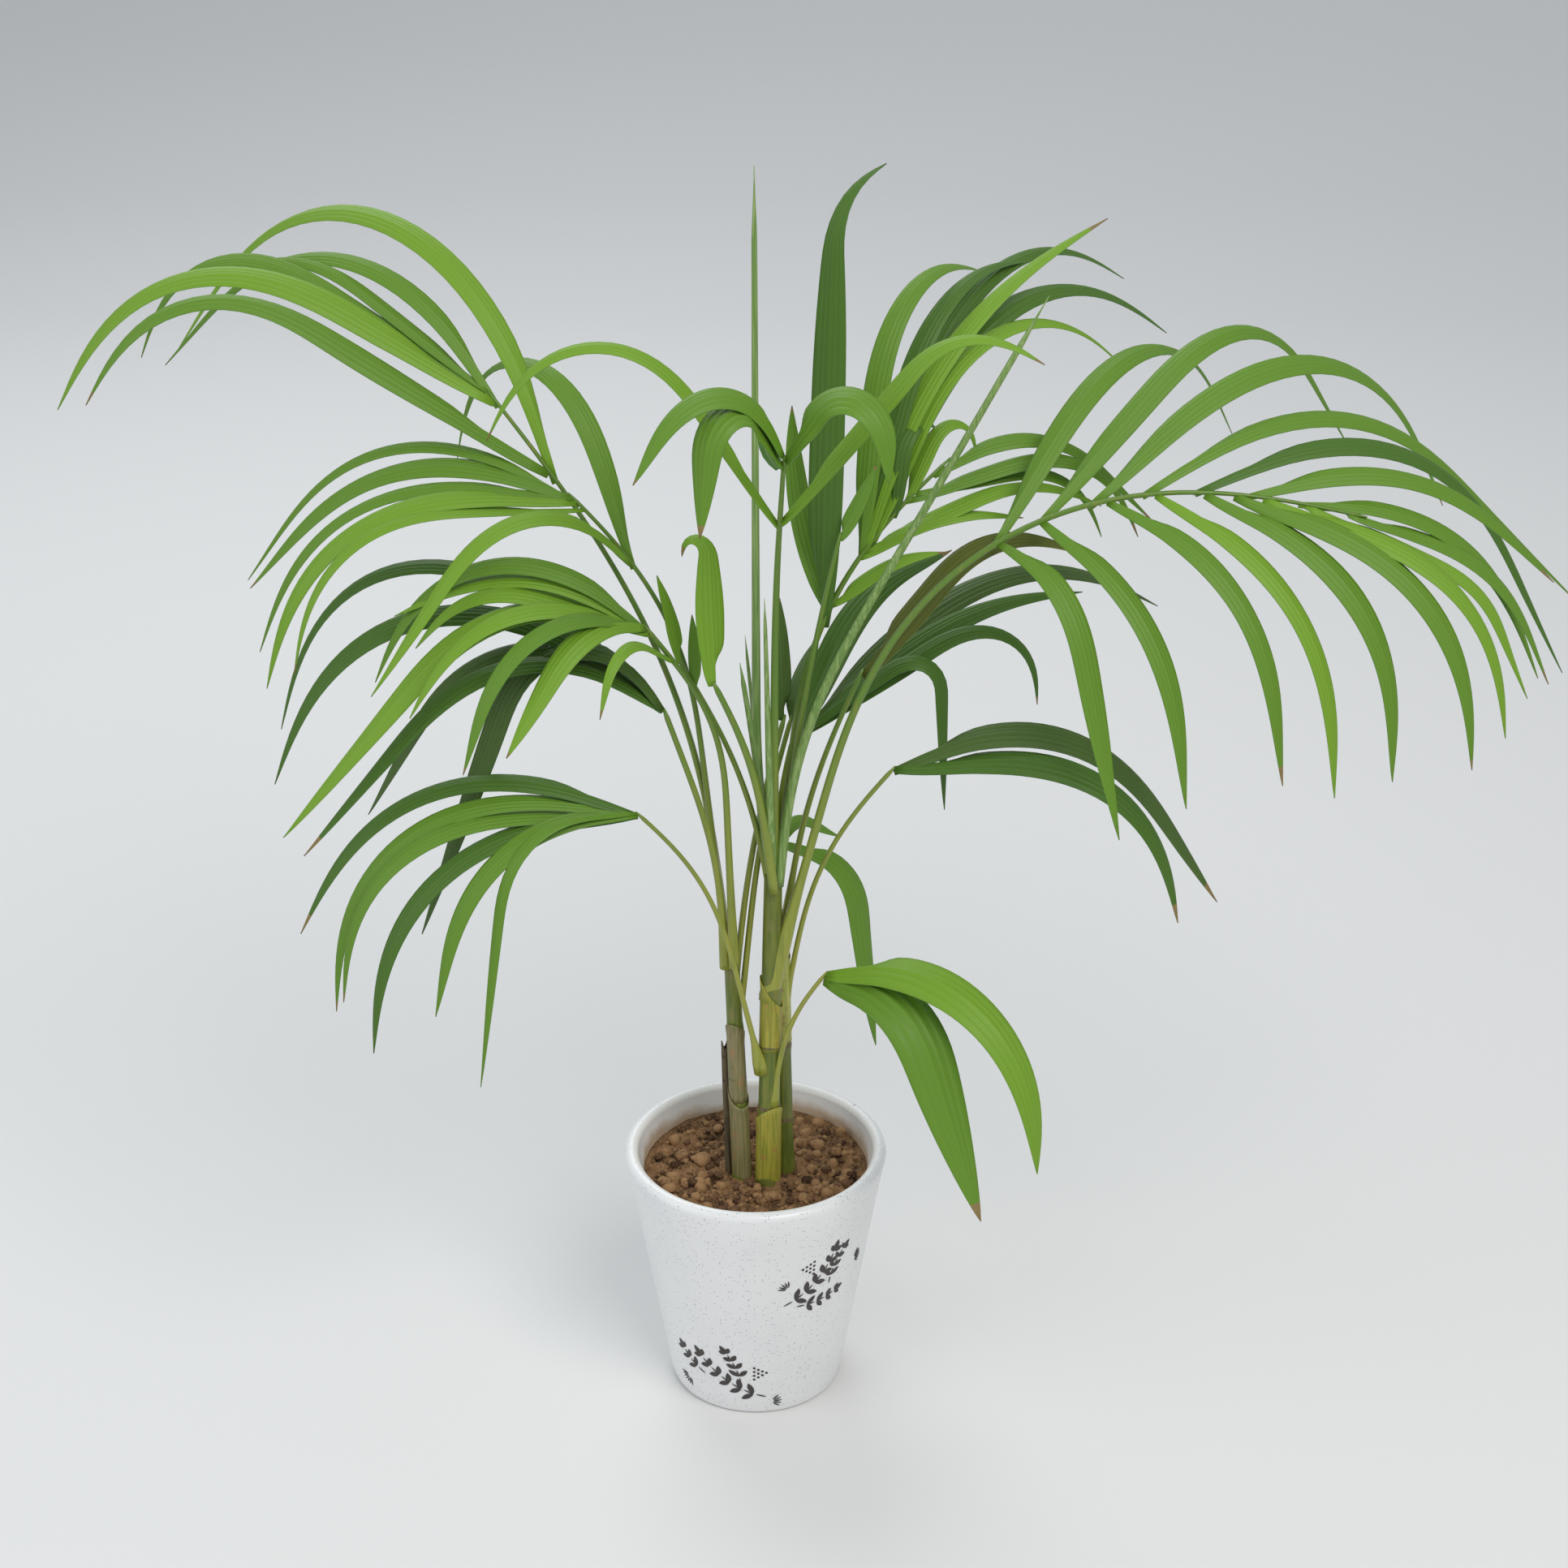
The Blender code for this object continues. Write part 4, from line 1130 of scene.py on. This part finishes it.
def crumb(rng, size):
    """Points and faces of one knobbly crumb of a size."""
    shape = bmesh.new()
    bmesh.ops.create_icosphere(shape, subdivisions=2, radius=size)
    shift = Vector((rng.uniform(0, 50), rng.uniform(0, 50), rng.uniform(0, 50)))
    squash = rng.uniform(0.6, 0.9)
    points = []
    for corner in shape.verts:
        co = corner.co * (1 + 0.45 * noise.noise(corner.co / size * 1.3 + shift))
        points.append((co.x, co.y * rng.uniform(0.97, 1.03), co.z * squash))
    faces = [tuple(v.index for v in face.verts) for face in shape.faces]
    shape.free()
    return points, faces


def scatter_crumbs(name, count, sizes, material, rng):
    """Loose crumbs seated on the soil, joined in one mesh."""
    points, faces = [], []
    reach = inner_radius(SOIL_TOP) - 5
    while count:
        x, y = rng.uniform(-reach, reach), rng.uniform(-reach, reach)
        near_stem = min(math.hypot(x - s["foot"][0], y - s["foot"][1]) for s in STEMS.values())
        if math.hypot(x, y) > reach or near_stem < 9:
            continue
        size = sizes[0] + (sizes[1] - sizes[0]) * rng.random() ** 2.2
        more, more_faces = crumb(rng, size)
        turn = rng.uniform(0, 2 * math.pi)
        c, s = math.cos(turn), math.sin(turn)
        base = len(points)
        lift = soil_height(x, y) + size * 0.25
        points += [(x + c * px - s * py, y + s * px + c * py, lift + pz) for px, py, pz in more]
        faces += [tuple(base + i for i in face) for face in more_faces]
        count -= 1
    return mesh_object(name, np.array(points) * MM, faces, [material])


rng = random.Random(5)
wear(make_soil(), "soil", "soil")
DUSTY = soil_material("soil_dusty", (0.33, 0.19, 0.09), (0.13, 0.07, 0.035), 0.44)
MOIST = soil_material("soil_moist", (0.16, 0.085, 0.042), (0.045, 0.023, 0.013), 0.5)
wear(scatter_crumbs("crumbs_dusty", 230, (0.9, 4.6), DUSTY, rng), "soil")
wear(scatter_crumbs("crumbs_moist", 200, (0.8, 3.6), MOIST, rng), "soil")
print("crumbs scattered")

# %% [markdown]
# ## Floor, light and camera
#
# A plain pale floor and broad soft lights keep the eye on the palm. The camera looks
# down at it from a little above, as one would stand in front of it.

# %% Stage
def make_floor():
    """A wide plain floor that curves up behind the palm."""
    reach, back, rise = 4.0, 2.2, 2.6
    profile = [(-reach, 0), (back, 0)]
    profile += [(back + rise * math.sin(a), rise * (1 - math.cos(a)))
                for a in np.radians(np.arange(10, 91, 10))]
    points = [(x, y, z) for y, z in profile for x in (-5, 5)]
    faces = [(2 * i, 2 * i + 1, 2 * i + 3, 2 * i + 2) for i in range(len(profile) - 1)]
    floor = mesh_object("floor", points, faces, [Recipe("floor_paint", (0.74, 0.73, 0.71), 0.8).material])
    floor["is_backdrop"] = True


def area_light(name, place, aim, size, power, colour):
    """A square soft light that looks at a point."""
    data = bpy.data.lights.new(name, "AREA")
    data.size = size
    data.energy = power
    data.color = colour
    lamp = bpy.data.objects.new(name, data)
    lamp.location = place
    lamp.rotation_euler = (Vector(aim) - Vector(place)).to_track_quat("-Z", "Y").to_euler()
    bpy.context.scene.collection.objects.link(lamp)


make_floor()
MIDDLE = (0, 0, 0.4)
area_light("key", (0.9, -1.5, 2.3), MIDDLE, 1.4, 34, (1.0, 0.98, 0.94))
area_light("fill", (-1.9, -1.0, 1.3), MIDDLE, 1.8, 13, (0.92, 0.96, 1.0))
area_light("back", (-0.6, 1.7, 2.0), MIDDLE, 1.6, 20, (0.95, 0.98, 1.0))
world = bpy.data.worlds.new("soft_sky")
world.use_nodes = True
world.node_tree.nodes["Background"].inputs["Color"].default_value = (0.86, 0.92, 1.0, 1)
world.node_tree.nodes["Background"].inputs["Strength"].default_value = 0.55
bpy.context.scene.world = world
bpy.context.scene.view_settings.view_transform = "Standard"

CAMERA_PLACE = (0.0163, -1.425, 1.058)
CAMERA_DOWN = 25.4
eye = bpy.data.cameras.new("camera")
eye.lens = 67.08
eye.sensor_width = 36
camera = bpy.data.objects.new("camera", eye)
camera.location = CAMERA_PLACE
camera.rotation_euler = (math.radians(90 - CAMERA_DOWN), 0, 0)
bpy.context.scene.collection.objects.link(camera)
bpy.context.scene.camera = camera
print("camera looks down by", CAMERA_DOWN, "degrees")

# %% [markdown]
# ## The two boxes
#
# The finer palm has to fill the same box as the solids, so both boxes are written
# down side by side.

# %% Sizes and finish
SEEN_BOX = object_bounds()
for label, box in (("solids", CAD_BOX), ("dressed", SEEN_BOX)):
    print(label, [[round(x / MM, 1) for x in corner] for corner in box])
